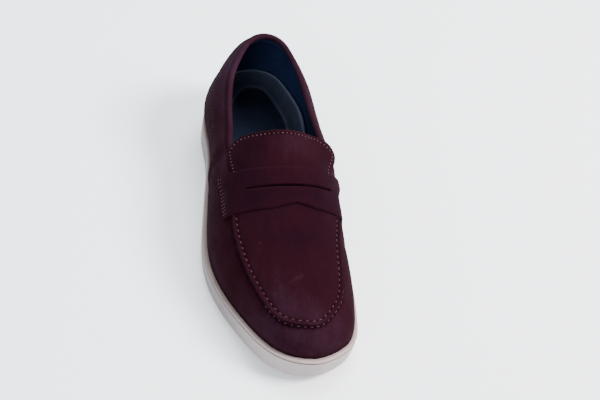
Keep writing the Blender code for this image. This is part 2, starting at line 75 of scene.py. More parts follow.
# Half widths of the feather line at shares of its length
Plan = namedtuple("Plan", "share outer inner")
PLAN = [
    Plan(0.08, 30.8, 26.9),
    Plan(0.18, 41.7, 34.0),
    Plan(0.30, 43.0, 34.2),
    Plan(0.42, 47.9, 36.3),
    Plan(0.54, 53.3, 37.8),
    Plan(0.64, 56.5, 38.8),
    Plan(0.72, 55.2, 38.9),
    Plan(0.80, 48.8, 38.2),
    Plan(0.88, 38.9, 34.9),
    Plan(0.95, 27.8, 26.6),
]

# Heights over the floor
Level = namedtuple("Level", "share height")
FEATHER_LEVELS = [
    Level(0.00, 20.0),
    Level(0.20, 18.5),
    Level(0.40, 16.0),
    Level(0.60, 13.6),
    Level(0.72, 14.2),
    Level(0.85, 15.8),
    Level(1.00, 22.4),
]
TOP_LINE = [
    Level(0.00, 80.2),
    Level(0.10, 75.6),
    Level(0.20, 71.1),
    Level(0.30, 62.5),
    Level(0.40, 57.0),
    Level(0.50, 54.5),
    Level(0.62, 54.0),
]

# The instep ridge, carried on over the open collar: height, and offset to the inner side
Ridge = namedtuple("Ridge", "share height inward")
RIDGE = [
    Ridge(0.20, 116.0, -6.5),
    Ridge(0.30, 102.5, -6.5),
    Ridge(0.38, 90.0, -6.3),
    Ridge(0.44, 81.5, -6.0),
    Ridge(0.50, 74.5, -5.4),
    Ridge(0.56, 68.5, -4.5),
    Ridge(0.62, 63.0, -3.4),
    Ridge(0.70, 56.5, -2.0),
    Ridge(0.78, 51.0, -0.8),
    Ridge(0.85, 47.0, 0.0),
    Ridge(0.90, 44.0, 0.5),
]
RIDGE_FROM = 0.22           # share of the ridge that the rib at the heel end runs up to
RIDGE_TO = 0.85             # the same for the rib at the toe

# Shape of a rib: how steeply it rises, how far it reaches over the top, how far it swells out
Rib = namedtuple("Rib", "share rise reach outer_swell inner_swell")
RIBS = [
    Rib(0.00, 0.34, 0.31, 5.6, 5.2),
    Rib(0.10, 0.34, 0.28, 16.0, 9.6),
    Rib(0.20, 0.39, 0.325, 20.0, 8.6),
    Rib(0.40, 0.44, 0.50, 12.7, 15.0),
    Rib(0.60, 0.52, 0.58, 8.5, 7.0),
    Rib(0.80, 0.58, 0.60, 4.5, 1.0),
    Rib(1.00, 0.60, 0.60, 3.5, 2.5),
]

# Length up the ribs from the feather line to the apron seam, outer and inner side
Seam = namedtuple("Seam", "share outer inner")
APRON_SEAM = [
    Seam(0.55, 42.3, 40.7),
    Seam(0.65, 37.5, 34.6),
    Seam(0.75, 31.4, 35.8),
    Seam(0.85, 24.9, 33.0),
    Seam(0.92, 21.0, 30.4),
    Seam(0.97, 20.3, 26.9),
    Seam(1.00, 22.8, 22.8),
]

# Lighter and darker patches of the suede, partly nap brushed another way and partly painted light and
# shade of its lit and shaded sides: place on the last, radius, and lightness
Patch = namedtuple("Patch", "x y z radius lightness")
PATCHES = [
    Patch(212, -2, 58, 40, -0.50),
    Patch(250, 6, 48, 28, -0.15),
    Patch(146, 0, 76, 26, 0.50),
    Patch(284, -26, 30, 62, 0.95),
    Patch(292, 12, 30, 34, 0.25),
    Patch(8, 0, 80, 30, 0.80),
    Patch(50, -44, 60, 55, 0.95),
    Patch(30, 10, 70, 60, 0.30),
    Patch(178, -30, 56, 34, -0.85),
    Patch(180, 16, 58, 34, -0.60),
    Patch(180, -6, 64, 24, -0.35),
    Patch(150, -34, 60, 24, -0.45),
    Patch(210, -54, 26, 44, 0.15),
]
Scuff = namedtuple("Scuff", "start end width lightness")
SCUFFS = [                  # faint rubbed lines on the apron
    Scuff((251.5, -14.9, 47.4), (245.9, -4.0, 49.7), 2.2, 0.16),
    Scuff((218.4, -30.8, 51.0), (220.5, -29.0, 51.0), 0.7, 0.30),
]

# Soft troughs and ridges of the suede, from point to point, with half width and depth
Crease = namedtuple("Crease", "start end width depth")
CREASES = [
    Crease((139, -50, 26), (133, -42, 52), 4.5, -0.9),
    Crease((129, -50, 26), (123, -42, 54), 6.0, 0.7),
    Crease((112, -48, 34), (104, -44, 54), 7.0, -0.6),
    Crease((146, 40, 26), (141, 30, 50), 4.5, -0.8),
    Crease((134, 38, 26), (129, 29, 52), 6.0, 0.6),
    Crease((208, -55, 20), (198, -47, 42), 5.0, -0.5),
    Crease((222, -51, 20), (213, -43, 38), 5.0, -0.4),
    Crease((208, 41, 20), (200, 32, 44), 5.0, -0.5),
    Crease((206, -34, 50), (202, 12, 58), 3.5, -0.35),
    Crease((214, -32, 46), (211, 14, 54), 4.0, -0.30),
    Crease((148, -28, 68), (148, 16, 70), 6.0, -0.5),
    Crease((22, -34, 44), (14, -12, 40), 12.0, -0.8),
    Crease((60, 30, 36), (84, 33, 34), 12.0, -0.6),
]

# Layers, as distances off the last
GAP = 0.3                   # clearance between pieces that touch
UPPER_WALL = 2.0            # suede and lining
COLLAR_PAD = 2.2            # extra thickness of the padded collar
PAD_FADE = (0.42, 0.54)     # shares between which the padding dies out
PAD_BULGE = 0.3             # how far the padding pushes the collar out
PAD_RISE = 0.7              # share of the collar band's width over which the padding comes up
RIM_ROUND = 0.5             # height of the rolled edge over its thickness
HEEL_LIFT = 2.8             # how far the rolled edge stands up at the heel
LIFT_FADE = (0.0, 0.25)     # shares between which that dies out
RIM_SUEDE = 2.2             # suede turned down inside the collar
TURNED_MOST = 0.3           # at most this share of the way down to the seam
APRON_THICK = 1.5
BEAD_FADE = (188.0, 197.0)  # places along the foot between which the raised seam comes up
TONGUE_THICK = 1.4
STRAP_THICK = 1.3
STRAP_THIN = 0.55           # share of that left at its ends
THIN_RUN = (0.0, 16.0)      # distances from the ends over which it thickens
STRAP_LOW = 0.2             # underside of the strap where it lies on the upper
STRAP_HIGH = 2.2            # underside of the strap over apron, tongue and collar band
STRAP_EASE = (-9.0, -1.0)   # lengths up the ribs from the seam between which it climbs
SLOT_LIFT = 0.2             # how far the rear lip of the slot stands up
LIP_WIDTH = 4.0             # width of that lip
TONGUE_PAD = 0.3            # how far the tongue swells inside its edge
TONGUE_PAD_RUN = (2.0, 12.0)    # distances from the edge between which it does
BAND_THICK = 1.0
BAND_THIN = 0.9             # share of that which the band loses towards its top
BAND_FADE = (0.45, 1.0)     # shares of its way up between which it does
EDGE_ROUND = 0.8            # radius of a cut edge
SEWN_EDGE = 0.10            # square of the share of a layer left at an edge that is sewn down
FREE_EDGE = 0.08            # the same at a free edge

# Raised moccasin seam: height off the last at lengths in from the apron's edge
Bead = namedtuple("Bead", "inset height")
BEAD = [
    Bead(0.0, 0.8),
    Bead(0.3, 2.0),
    Bead(0.7, 2.7),
    Bead(1.3, 3.0),
    Bead(2.0, 2.8),
    Bead(2.8, 2.2),
    Bead(3.5, 1.6),
    Bead(4.1, 1.5),
    Bead(5.4, 1.75),
    Bead(7.6, 1.8),
]
OUTER_ROW = 0.12            # insets of the two rows of stitches
INNER_ROW = 3.7
PINCH = 0.9                 # how far the bead is drawn down between the outer stitches
PINCH_WIDTH = 0.9           # half width of that
PUCKER = 0.55               # depth of the puckers in the vamp, just under the seam
PUCKER_RUN = 3.2            # length over which they die out
ROW_SHOWN = {"outer": 0.905, "inner": 0.84}     # shares in front of which the outer thread shows
SEWN_FROM = 0.02            # share of its full height from which the raised seam is sewn

# Lines on the upper
THROAT_SHARE = 0.604        # front end of the opening, under the strap
OPENING_TURN = 0.50         # share where the top line starts to close towards the throat
BAND_WIDTH = 22.0           # collar band, down from the top line
BAND_END = 0.53             # share where its ends go under the strap
BAND_TOP = 0.80             # upper edge of the band, as a share of its way to the top line
BAND_ROW = 2.2              # its stitches, up from its lower edge
BAND_DRAW = 0.3             # how deep they draw it in
TONGUE_ROW = 3.0            # stitches in from the tongue's edge
ROW_DRIFT = 3.6             # how much further in they come on the inner side
DRIFT_REACH = (0.55, 0.92)  # places across it between which they do
STRAP_STITCH_ROWS = (1.5, 3.6)      # stitches in from the strap's ends
STRAP_ROW_NAMES = "strap_end", "strap_inner"
STRAP_THREADS = "pale_thread", "dark_thread"
STRAP_ROW_ENDS = 1.5        # rows of the mesh left free at the ends of those stitches
STRAP_ROW_POINTS = 60       # points along them
FINE_DRAW = 0.25            # how deep the stitches of tongue and strap draw in
DRAW_WIDTH = 0.8            # half width of what a row of stitches draws in
SEAM_BLEND = (0.46, 0.60)   # shares between which the band seam passes over to the apron seam

# Tongue and strap: places along the foot from the heel end
TONGUE_REAR = 136.8         # rear edge on the ridge
TONGUE_SWEEP = 14.0         # how far back the ends of that edge lie
TONGUE_CORNER = 15.0        # how far its rounded corners draw forward
CORNER_POWER = 8            # how tightly they turn
TONGUE_FRONT = 178.2        # front edge, close behind the apron
TONGUE_SIDE = {"outer": -1.0, "inner": -2.5}    # side edges up from the edge of the opening
TONGUE_FLARE = {"outer": 0.5, "inner": 4.4}     # how far the side edges stand off the last
FLARE_REACH = (0.5, 1.0)    # reaches from the ridge between which they rise
FLARE_FADE = (138.0, 154.0)     # places along the foot where the strap presses them down
STRAP_REAR = 164.5          # rear edge on the ridge
STRAP_REAR_SWEEP = {"outer": 12.5, "inner": 18.0}     # how far back the ends of that edge lie
STRAP_FRONT = 195.5         # front edge on the ridge, before its notch
STRAP_FRONT_SWEEP = {"outer": 4.5, "inner": 7.5}      # how far back the ends of that edge lie
STRAP_NOTCH = 3.7           # depth of the notch in the front edge
STRAP_NOTCH_SPAN = 0.30     # its half width, as a share of half the strap
STRAP_END = {"outer": 31.0, "inner": 25.0}      # height of the ends up the ribs
SLOT_SPAN = 0.60            # half length of the slot, as a share of half the strap
SLOT_HALF = 0.022           # half width of the slot, as a share of the strap's width
SLOT_ENDS = {"outer": 2.0, "inner": 8.0}        # how bluntly it ends
SLOT_PLACE = 0.462          # middle of the slot, from the rear edge to the front one
SLOT_SKEW = 0.03            # how far it turns back towards its inner end

# Sole
SOLE_MARGIN = 3.3           # sole edge out from the feather line
WELT_HEIGHT = 1.7
WELT_BEVEL = 0.5
TREAD_BEVEL = 1.4
WALL_DRAFT = 0.8            # the side wall leans in by this much from top to bottom
ARCH_LIFT = 2.5             # underside of the arch over the floor
ARCH_SHARES = (0.30, 0.56)
SPRING_SHARE = 0.76         # toe spring starts here
SPRING_LIFT = 6.0           # underside of the toe tip over the floor
TOP_TURN = 0.3              # share of the bevel at which the sole's upper edge turns
WELT_ROUND = 2 * WELT_BEVEL     # radius of the welt's upper edge
RAGGED = 0.12               # how far that edge wanders up and down
RAGGED_WAVES = (0.90, 0.37)     # its two waves, in radians for each millimetre
RAGGED_SHIFT = 1.0          # shift of the second one

# Painted shade on the rubber, 0 to 1
TREAD_SHADE = 0.25           # painted shade along the lower edge of the sole
GROOVE_SHADE = 1.0           # painted shade in the groove under the welt
FOOT_SHADE = 0.5             # painted shade at the foot of the suede
SOLE_SHADED_RINGS = 2             # rings of the sole that get painted shade, at its lower and its upper edge
WELT_SHADED_RINGS = 4             # rings of the welt that lie in the groove, in its painted shade
WALL_SHADE = 0.43            # painted shade on the outer side
WALL_START = (0.02, 0.20)   # shares between which that comes in
WALL_END = (0.78, 0.96)     # shares between which it dies out

# Insole
INSOLE_CLEAR = 0.7          # to the lining
FOOTBED_RISE = 3.0          # footbed over the feather line
RIM_RISE = 9.0              # heel rim over the footbed
RIM_FADE = (0.16, 0.42)     # shares over which the rim runs out
SEAT_STEP = 0.9             # depth of the sunk heel seat inside the rim
TONGUE_SHADE_PLACE = (135.0, 0.0, 20.0)     # centre of the painted shade on the footbed, close under the tongue
TONGUE_SHADE_RADIUS = 75.0          # how far that reaches
TONGUE_SHADE = 0.30           # share of its colour left there

# Footbed from its edge inwards: inset, share of the rim's height, drop and painted highlight
Rung = namedtuple("Rung", "inset rim drop worn")
INSOLE_RUNGS = [
    Rung(0.0, 1.0, 1.6, 0.0),
    Rung(0.3, 1.0, 0.7, 0.3),
    Rung(1.0, 1.0, 0.1, 0.9),
    Rung(2.6, 1.0, 0.0, 0.9),
    Rung(3.4, 0.97, 0.0, 0.25),
    Rung(5.5, 0.80, 0.0, 0.17),
    Rung(8.0, 0.47, 0.0, 0.13),
    Rung(10.5, 0.17, 0.0, 0.09),
    Rung(11.6, 0.07, 0.0, 0.16),
    Rung(12.6, 0.02, 0.0, 0.22),
    Rung(13.2, 0.0, 0.1, 0.05),
    Rung(13.8, 0.0, 0.8, 0.0),
    Rung(14.6, 0.0, 1.0, 0.0),
]

# Mesh densities
SIDE_COLUMNS = 480          # columns from heel to toe on each side
WALL_ROWS = 20              # rows of the upper from the feather line to the seam
CROWN_ROWS = 12             # rows from the seam to the top
RIM_ROWS = 8                # rows over the rolled edge
APRON_ROWS = 18             # rows of the apron inside its bead
BAND_ROWS = 14
TONGUE_GRID = (60, 110)
STRAP_COLUMNS = 220
STRAP_ROWS = 16             # rows of the strap on each side of its slot
CAP_ROWS = 14
WALL_STEPS = 8              # rows up the side wall of the sole
TREAD_TURNS = 4             # steps round the bevel of the tread
WELT_TURNS = 5              # steps round each edge of the welt
WALL_CROWD = 0.8            # power that crowds the rows of the upper towards the seam
BAND_CROWD = 1.4            # the same for the collar band, towards its lower edge
TONGUE_CROWD = 1.3          # the same for the tongue, towards its rear edge
STEP = 1e-3                 # parameter step of numerical slopes
POLE_STEPS = 20             # steps from the ends at which a normal there is taken
PLACE_ROUNDS = 14           # rounds of the search for a place along the foot
SAMPLES = 121               # points along a rib when a length or a height is looked up
TABLE_ANGLES = 241          # angles at which a line up the ribs is tabled
WELD = 1e-3                 # points closer than this are one
SHARP_ANGLE = 50.0          # edges that turn more than this are shaded sharp, in degrees
THREAD_RINGS = 7            # rings along a stitch
THREAD_SIDES = 8
THREAD_PLACES = np.linspace(-1, 1, THREAD_RINGS)
THREAD_ANGLES = np.linspace(0, 2 * math.pi, THREAD_SIDES, endpoint=False)
STITCH_SEED = 7

# Stitches: spread of their slant and length, and their form as shares of the thread's radius
SEAM_SLANT = 0.34           # slope of the moccasin stitches to their row
SLANT_SPREAD = 0.20
LENGTH_SPREAD = 0.20
TANGENT_STEP = 0.2          # step along a row when its direction is taken
THREAD_ARCH = 1.25          # rise of a stitch's middle over its ends
THREAD_SINK = 0.75          # how deep its ends lie
THREAD_TWIST = 0.10         # depth of the twist of its plies
THREAD_PLIES = 2            # plies that the thread is twisted from
PLY_TURN = 5.0              # turn of the plies from a stitch's middle to its end, in radians
THREAD_BLUNT = 6            # power that keeps a stitch full up to its ends
THREAD_TIP = 0.02           # square of the share of its thickness left there
HOLE_TIP = 0.01             # the same at the ends of a needle hole
HOLE_LENGTH = 0.75          # needle hole, as a share of the gap between stitches
HOLE_WIDTH = 0.62           # its half width and depth, as shares of the thread's thickness
HOLE_DEPTH = 0.12

# Camera in the last's own sizes
CAMERA_PLACE = (755.36, -208.131, 616.5)
CAMERA_AIM = (166.13, 8.499, 40.0)
CAMERA_ROLL = 15.7066       # degrees
SENSOR_WIDTH = 36.0         # of the camera, in millimetres

# Lights: place and size in metres, power in watts
Light = namedtuple("Light", "name place size power colour")
LIGHTS = [
    Light("key_light", (0.3, 1.35, 1.5), 0.8, 104.0, (1.0, 0.97, 0.97)),
    Light("fill_light", (1.0, -0.8, 0.9), 1.2, 22.0, (0.88, 0.92, 1.0)),
    Light("top_light", (-0.8, 0.2, 1.7), 1.2, 54.0, (0.90, 0.95, 1.0)),
]

# Light and shade painted into the nap's colour: dark crevices, grooves and cut edges, lighter rims and
# edges
CREVICE = -0.55             # painted shade along the foot of a seam
CREVICE_WIDTH = 1.1
FEATHER_SHADE = -0.30       # over the welt
FEATHER_WIDTH = 2.5
RIM_LIGHT = 0.28            # painted highlight on the rolled edge of the collar
LIGHT_FADE = (0.3, 1.0)     # shares of the collar band's way up between which it comes in
BEAD_LIGHT = -0.04          # painted shade, slight, on the crest of the moccasin seam
BEAD_CREST = 1.5            # its inset and half width
BEAD_WIDTH = 1.0
GROOVE = -0.22              # painted shade along a row of stitches
GROOVE_WIDTH = 0.8
EDGE_LIGHT = 0.10           # painted highlight on the edges of the strap
CUT_EDGE = -0.80            # painted shade at the foot of a cut edge

# Noise in the finishes: width of a grain in millimetres, and its detail and roughness
Noise = namedtuple("Noise", "grain detail rough")
SUEDE_CLOUD = Noise(26.0, 4.0, 0.60)
SUEDE_BRUSH = Noise(7.0, 3.0, 0.60)
SUEDE_GRAIN = Noise(1.1, 3.0, 0.70)
SUEDE_NAP = Noise(0.55, 4.0, 0.75)
SUEDE_RUFFLE = Noise(2.4, 3.0, 0.60)
LINING_CLOUD = Noise(18.0, 3.0, 0.50)
LINING_WEAVE = Noise(0.7, 2.0, 0.50)
INSOLE_CLOUD = Noise(14.0, 4.0, 0.60)
RUBBER_CLOUD = Noise(22.0, 3.0, 0.50)
RUBBER_GRAIN = Noise(0.8, 3.0, 0.70)
RUBBER_SPECKS = Noise(2.6, 2.0, 0.50)
THREAD_SHADE = Noise(1.6, 2.0, 0.50)
THREAD_FUZZ = Noise(0.3, 2.0, 0.50)
HOLE_FUZZ = Noise(0.5, 2.0, 0.50)
INSOLE_PEBBLE = 0.9         # width of a pebble in the footbed's leather
BRUSH_STRETCH = (0.35, 1.0, 1.0)    # how the noise of the brushing is drawn out along the foot
RUFFLE_STRETCH = (0.5, 1.0, 1.0)
NOISE_MEAN = 0.5            # about which a noise swings

# Surfaces: roughness, how much smoother they are where light, gloss, and relief in millimetres
Surface = namedtuple("Surface", "rough smoother gloss relief")
SUEDE_SHINE = (0.98, 0.10, 0.02)    # its relief is the depth of the nap
SHEEN_ROUGH = 0.45
LINING_SURFACE = Surface(0.80, 0.10, 0.08, 0.12)
INSOLE_SURFACE = Surface(0.66, -0.12, 0.02, 0.06)
RUBBER_SURFACE = Surface(0.62, 0.08, 0.35, 0.05)
THREAD_SURFACE = Surface(0.70, 0.0, 0.10, 0.05)
HOLE_SURFACE = Surface(1.0, 0.0, 0.0, 0.10)
PAPER_ROUGH = 0.9           # of the floor
PAPER_GLOSS = 0.1

# Parts of the noises in a finish, and shares of a colour
CLOUD_PART = 0.50           # of clouds, brushing and grain in the lightness of the suede
BRUSH_PART = 0.45
GRAIN_PART = 0.50
NAP_LIGHT = 0.45            # lightness of the nap where nothing changes it
RED_LIGHT = 0.5             # lightness at which it is plain red, between dark and dusty
PATCH_PART = 0.35           # of a patch whose own lightness is 1
NAP_PART = 0.6              # of the short nap in the relief, beside the ruffles
COARSE_PART = 0.7           # of the clouds in lining and rubber, beside their fine grain
HIGHLIGHT_PART = 0.7             # of the painted highlight that shows on the darkest leather
CLOUD_SPAN = (0.30, 0.70)   # noise between which lining and leather go from dark to light
RUBBER_SPAN = (0.25, 0.75)  # the same for the rubber
SPECK_SPAN = (0.66, 0.74)   # and for its specks
SOLE_SPECKLE = 0.5          # strength of the specks on sole and welt
WELT_SPECKLE = 0.8
LINING_LOW = 0.60           # shares of the colour that the dark places have
INSOLE_LOW = 0.65
RUBBER_LOW = 0.90
RUBBER_SPECK = 0.55
# share left where the rubber's shade is painted
RUBBER_SHADE = 0.22
THREAD_LOW = 0.55
HOLE_SHARES = (0.15, 0.45)  # of the dark nap, for the painted shade in the needle holes

OUTER, INNER = -1.0, 1.0    # the two sides of the foot


class Curve:
    """Cubic spline through points, free at its ends or level there."""

    def __init__(self, places, values, level_ends=False):
        self.places = np.asarray(places, float)
        self.values = np.asarray(values, float)
        gaps = np.diff(self.places)
        slopes = np.diff(self.values) / gaps
        count = len(self.places)
        matrix = np.eye(count)
        right = np.zeros(count)
        for row in range(1, count - 1):
            matrix[row, row - 1] = gaps[row - 1]
            matrix[row, row] = 2 * (gaps[row - 1] + gaps[row])
            matrix[row, row + 1] = gaps[row]
            right[row] = 6 * (slopes[row] - slopes[row - 1])
        if level_ends:
            matrix[0, :2] = 2 * gaps[0], gaps[0]
            right[0] = 6 * slopes[0]
            matrix[-1, -2:] = gaps[-1], 2 * gaps[-1]
            right[-1] = -6 * slopes[-1]
        self.bends = np.linalg.solve(matrix, right)

    def __call__(self, place):
        place = np.asarray(place, float)
        row = np.clip(np.searchsorted(self.places, place) - 1, 0, len(self.places) - 2)
        gap = self.places[row + 1] - self.places[row]
        before = (self.places[row + 1] - place) / gap
        after = (place - self.places[row]) / gap
        bend = (before**3 - before) * self.bends[row] + (after**3 - after) * self.bends[row + 1]
        return before * self.values[row] + after * self.values[row + 1] + bend * gap**2 / 6


def column(table, name):
    """Spline of one named column of a table over its share column."""
    return Curve([row.share for row in table], [getattr(row, name) for row in table])


def width_curve(name):
    """Half width over the sine of the angle, so that heel and toe close as round ends."""
    angles = [math.acos(1 - 2 * row.share) for row in PLAN]
    ratios = [getattr(row, name) / math.sin(angle) for row, angle in zip(PLAN, angles)]
    heel = math.sqrt(HEEL_RADIUS * FEATHER_LENGTH / 2)
    toe = math.sqrt(TOE_RADIUS[name] * FEATHER_LENGTH / 2)
    return Curve([0.0, *angles, math.pi], [heel, *ratios, toe], level_ends=True)


WIDTHS = {name: width_curve(name) for name in ("outer", "inner")}
SWELLS = {name: column(RIBS, name + "_swell") for name in ("outer", "inner")}
SEAMS = {name: column(APRON_SEAM, name) for name in ("outer", "inner")}
FEATHER_HEIGHT = column(FEATHER_LEVELS, "height")
TOP_HEIGHT = column(TOP_LINE, "height")
RIDGE_HEIGHT = column(RIDGE, "height")
RIDGE_INWARD = column(RIDGE, "inward")
RIB_RISE = column(RIBS, "rise")
RIB_REACH = column(RIBS, "reach")


def by_side(side, pair, place):
    """Value of the outer or the inner curve of a pair, as each side asks."""
    return np.where(side < 0, pair["outer"](place), pair["inner"](place))


def by_name(side, sizes):
    """Size of the outer or the inner side, as each side asks."""
    return np.where(side < 0, sizes["outer"], sizes["inner"])


def fade(place, limits):
    """Smooth step from 0 at the first limit to 1 at the second."""
    share = np.clip((place - limits[0]) / (limits[1] - limits[0]), 0, 1)
    return share * share * (3 - 2 * share)


def bell(distance, width):
    """1 at no distance, falling off softly to about a third at a width."""
    return np.exp(-((distance / width) ** 2))


def rounded_edge(distance, least):
    """Share of a layer's thickness at a distance from its cut edge, least being its square there."""
    return np.sqrt(np.clip(1 - (1 - distance / EDGE_ROUND).clip(0, 1) ** 2, least, 1))


def share_of(angle):
    """Share of the feather length at an angle: 0 at the heel, 1 at the toe."""
    return (1 - np.cos(angle)) / 2


def angle_of(share):
    """Angle at a share of the feather length."""
    return np.arccos(1 - 2 * np.asarray(share, float))


def unit(vectors):
    """Vectors at length 1."""
    return vectors / np.linalg.norm(vectors, axis=-1, keepdims=True)


def feather(angle, side):
    """Point of the feather line."""
    share = share_of(angle)
    width = by_side(side, WIDTHS, angle) * np.sin(angle)
    swing = HEEL_SWING * np.clip(1 - share / SWING_SHARE, 0, 1) ** 2
    along = HEEL_END + FEATHER_LENGTH * share
    return np.stack([along, side * width - swing, FEATHER_HEIGHT(share)], -1)


def outward(angle, side):
    """Level direction straight out from the feather line."""
    run = feather(angle + STEP, side) - feather(angle - STEP, side)
    out = np.stack([-run[..., 1], run[..., 0], np.zeros_like(run[..., 0])], -1)
    return unit(out * np.asarray(side, float)[..., None])


def crest_of(angle):
    """Share of the ridge that the rib at an angle runs up to, and the ridge's slope there."""
    share = RIDGE_FROM + (RIDGE_TO - RIDGE_FROM) * share_of(angle)
    slope = (RIDGE_HEIGHT(share + STEP) - RIDGE_HEIGHT(share - STEP)) / (2 * STEP * FEATHER_LENGTH)
    return share, slope


def last(angle, side, rise):
    """Point of the last: rise 0 is on the feather line and 1 on the ridge, along one rib."""
    angle, side, rise = np.broadcast_arrays(angle, side, rise)
    share = share_of(angle)
    foot = feather(angle, side)
    crest_share, slope = crest_of(angle)
    along = HEEL_END + FEATHER_LENGTH * crest_share
    crest = np.stack([along, RIDGE_INWARD(crest_share), RIDGE_HEIGHT(crest_share)], -1)
    wall = foot + outward(angle, side) * by_side(side, SWELLS, share)[..., None]
    wall[..., 2] += RIB_RISE(share) * (crest - foot)[..., 2]
    across = crest - foot
    across[..., 2] = slope * across[..., 0]
    shoulder = crest - across * RIB_REACH(share)[..., None]
    up = rise[..., None]
    down = 1 - up
    return down**3 * foot + 3 * down**2 * up * wall + 3 * down * up**2 * shoulder + up**3 * crest


def normal(angle, side, rise):
    """Outward unit normal of the last, taken from the ridge itself along its crest."""
    angle, side, rise = np.broadcast_arrays(angle, side, rise)
    near_angle = np.clip(angle, POLE_STEPS * STEP, math.pi - POLE_STEPS * STEP)
    near_rise = np.clip(rise, 2 * STEP, 1 - 2 * STEP)
    along = last(near_angle + STEP, side, near_rise) - last(near_angle - STEP, side, near_rise)
    up = last(near_angle, side, near_rise + STEP) - last(near_angle, side, near_rise - STEP)
    out = np.cross(along, up) * -side[..., None]
    slope = crest_of(angle)[1]
    crest = np.stack([-slope, np.zeros_like(slope), np.ones_like(slope)], -1)
    return unit(np.where((rise > 1 - STEP)[..., None], crest, out))


def relief(points):
    """Height of the soft troughs and ridges at points."""
    height = np.zeros(points.shape[:-1])
    for crease in CREASES:
        start = np.array(crease.start, float)
        run = np.array(crease.end, float) - start
        place = np.clip((points - start) @ run / (run @ run), 0, 1)
        away = np.linalg.norm(points - start - place[..., None] * run, axis=-1)
        height += crease.depth * bell(away, crease.width)
    return height


def lifted(angle, side, rise, off):
    """Point at a distance off the creased last."""
    base = last(angle, side, rise)
    off = np.broadcast_to(off, base.shape[:-1]) + relief(base)
    return base + normal(angle, side, rise) * off[..., None]


def rib_lengths(angle, side):
    """Rises along the ribs, with their points and the lengths up to them."""
    rises = np.linspace(0, 1, SAMPLES)
    points = last(angle[:, None], side[:, None], rises[None, :])
    steps = np.linalg.norm(np.diff(points, axis=1), axis=-1)
    lengths = np.concatenate([np.zeros((len(points), 1)), np.cumsum(steps, axis=1)], axis=1)
    return rises, points, lengths


def rises_at_lengths(angle, side, lengths):
    """Rises at lengths up each rib, one row of lengths for each."""
    rises, _, runs = rib_lengths(angle, side)
    return np.array([np.interp(want, run, rises) for want, run in zip(lengths, runs)])


def lengths_at_rises(angle, side, wanted):
    """Lengths up each rib at rises, one row of rises for each."""
    rises, _, runs = rib_lengths(angle, side)
    return np.array([np.interp(want, rises, run) for want, run in zip(wanted, runs)])


def rise_at_height(angle, side, height):
    """Rise at a height over the floor on each rib."""
    rises, points, _ = rib_lengths(angle, side)
    return np.array([np.interp(want, rib[:, 2], rises) for want, rib in zip(height, points)])


def closing_of(share):
    """How far the opening has closed towards the throat, 0 to 1."""
    closing = np.clip((share - OPENING_TURN) / (THROAT_SHARE - OPENING_TURN), 0, 1)
    return np.where(closing >= 1 - STEP, 1.0, closing)


def top_length(angle, side):
    """Length up each rib to the edge of the opening, or to the ridge in front of the throat."""
    share = share_of(angle)
    height = TOP_HEIGHT(np.minimum(share, TOP_LINE[-1].share))
    height = height + HEEL_LIFT * (1 - fade(share, LIFT_FADE))
    edge = rise_at_height(angle, side, height)
    rise = 1 - (1 - edge) * np.sqrt(1 - closing_of(share) ** 2)
    return lengths_at_rises(angle, side, rise)


def seam_length(angle, side, top):
    """Length up each rib to the lower edge of the collar band, which runs on as the apron seam."""
    share = share_of(angle)
    front = by_side(side, SEAMS, np.clip(share, APRON_SEAM[0].share, 1))
    rear = np.minimum(top, front + BAND_WIDTH) - BAND_WIDTH
    rear = np.where(share < SEAM_BLEND[0], top - BAND_WIDTH, rear)
    return rear + fade(share, SEAM_BLEND) * (front - rear)


def loop_columns():
    """Angles and sides of the columns round the foot: up the outer side, back down the inner one."""
    angles = np.linspace(0, math.pi, SIDE_COLUMNS + 1)
    back = angles[-2:0:-1]
    sides = np.concatenate([np.full(len(angles), OUTER), np.full(len(back), INNER)])
    return np.concatenate([angles, back]), sides


ANGLES, SIDES = loop_columns()
SHARES = share_of(ANGLES)
TOPS = top_length(ANGLES, SIDES)
SEAM_LENGTHS = seam_length(ANGLES, SIDES, TOPS)


def run_of(line):
    """Length along a line of points up to each of them."""
    steps = np.linalg.norm(np.diff(line, axis=0), axis=-1)
    return np.concatenate([[0.0], np.cumsum(steps)])


def seam_line():
    """Points of the seam at the columns, from the heel round the toe and back."""
    rise = rises_at_lengths(ANGLES, SIDES, SEAM_LENGTHS[:, None])[:, 0]
    return last(ANGLES, SIDES, rise)


SEAM_LINE = seam_line()
SEAM_RUN = run_of(SEAM_LINE)
SEAM_FRONT = fade(SEAM_LINE[:, 0], BEAD_FADE)     # 0 under the strap and 1 in front of it


def sole_ring(inset, height):
    """Ring round the sole at an inset from its edge, at heights over the floor."""
    ring = feather(ANGLES, SIDES) + outward(ANGLES, SIDES) * (SOLE_MARGIN - inset)
    ring[:, 2] = height
    return ring


def frame_middle():
    """Point of the last's own sizes that lies over the frame's origin."""
    ring = sole_ring(0.0, 0.0)
    low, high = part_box("outsole")
    middle = (ring.min(axis=0) + ring.max(axis=0)) / 2
    middle[:2] -= MM * np.array(low + high)[:2] / 2
    middle[2] = 0
    return middle


MIDDLE = frame_middle()


class Wire:
    """A shader socket. Arithmetic on it adds Math nodes to its tree."""

    def __init__(self, finish, socket):
        self.finish = finish
        self.socket = socket

    def maths(self, operation, first, second):
        return self.finish.node("ShaderNodeMath", {"operation": operation}, {0: first, 1: second})

    def __add__(self, other):
        return self.maths("ADD", self, other)

    def __sub__(self, other):
        return self.maths("SUBTRACT", self, other)

    def __rsub__(self, other):
        return self.maths("SUBTRACT", other, self)

    def __mul__(self, other):
        return self.maths("MULTIPLY", self, other)

    __radd__ = __add__
    __rmul__ = __mul__


SOCKETS = {
    "colour": "Base Color",
    "roughness": "Roughness",
    "normal": "Normal",
    "gloss": "Specular IOR Level",
    "sheen": "Sheen Weight",
    "sheen_roughness": "Sheen Roughness",
    "sheen_tint": "Sheen Tint",
    "glow": "Emission Color",
    "glow_strength": "Emission Strength",
}


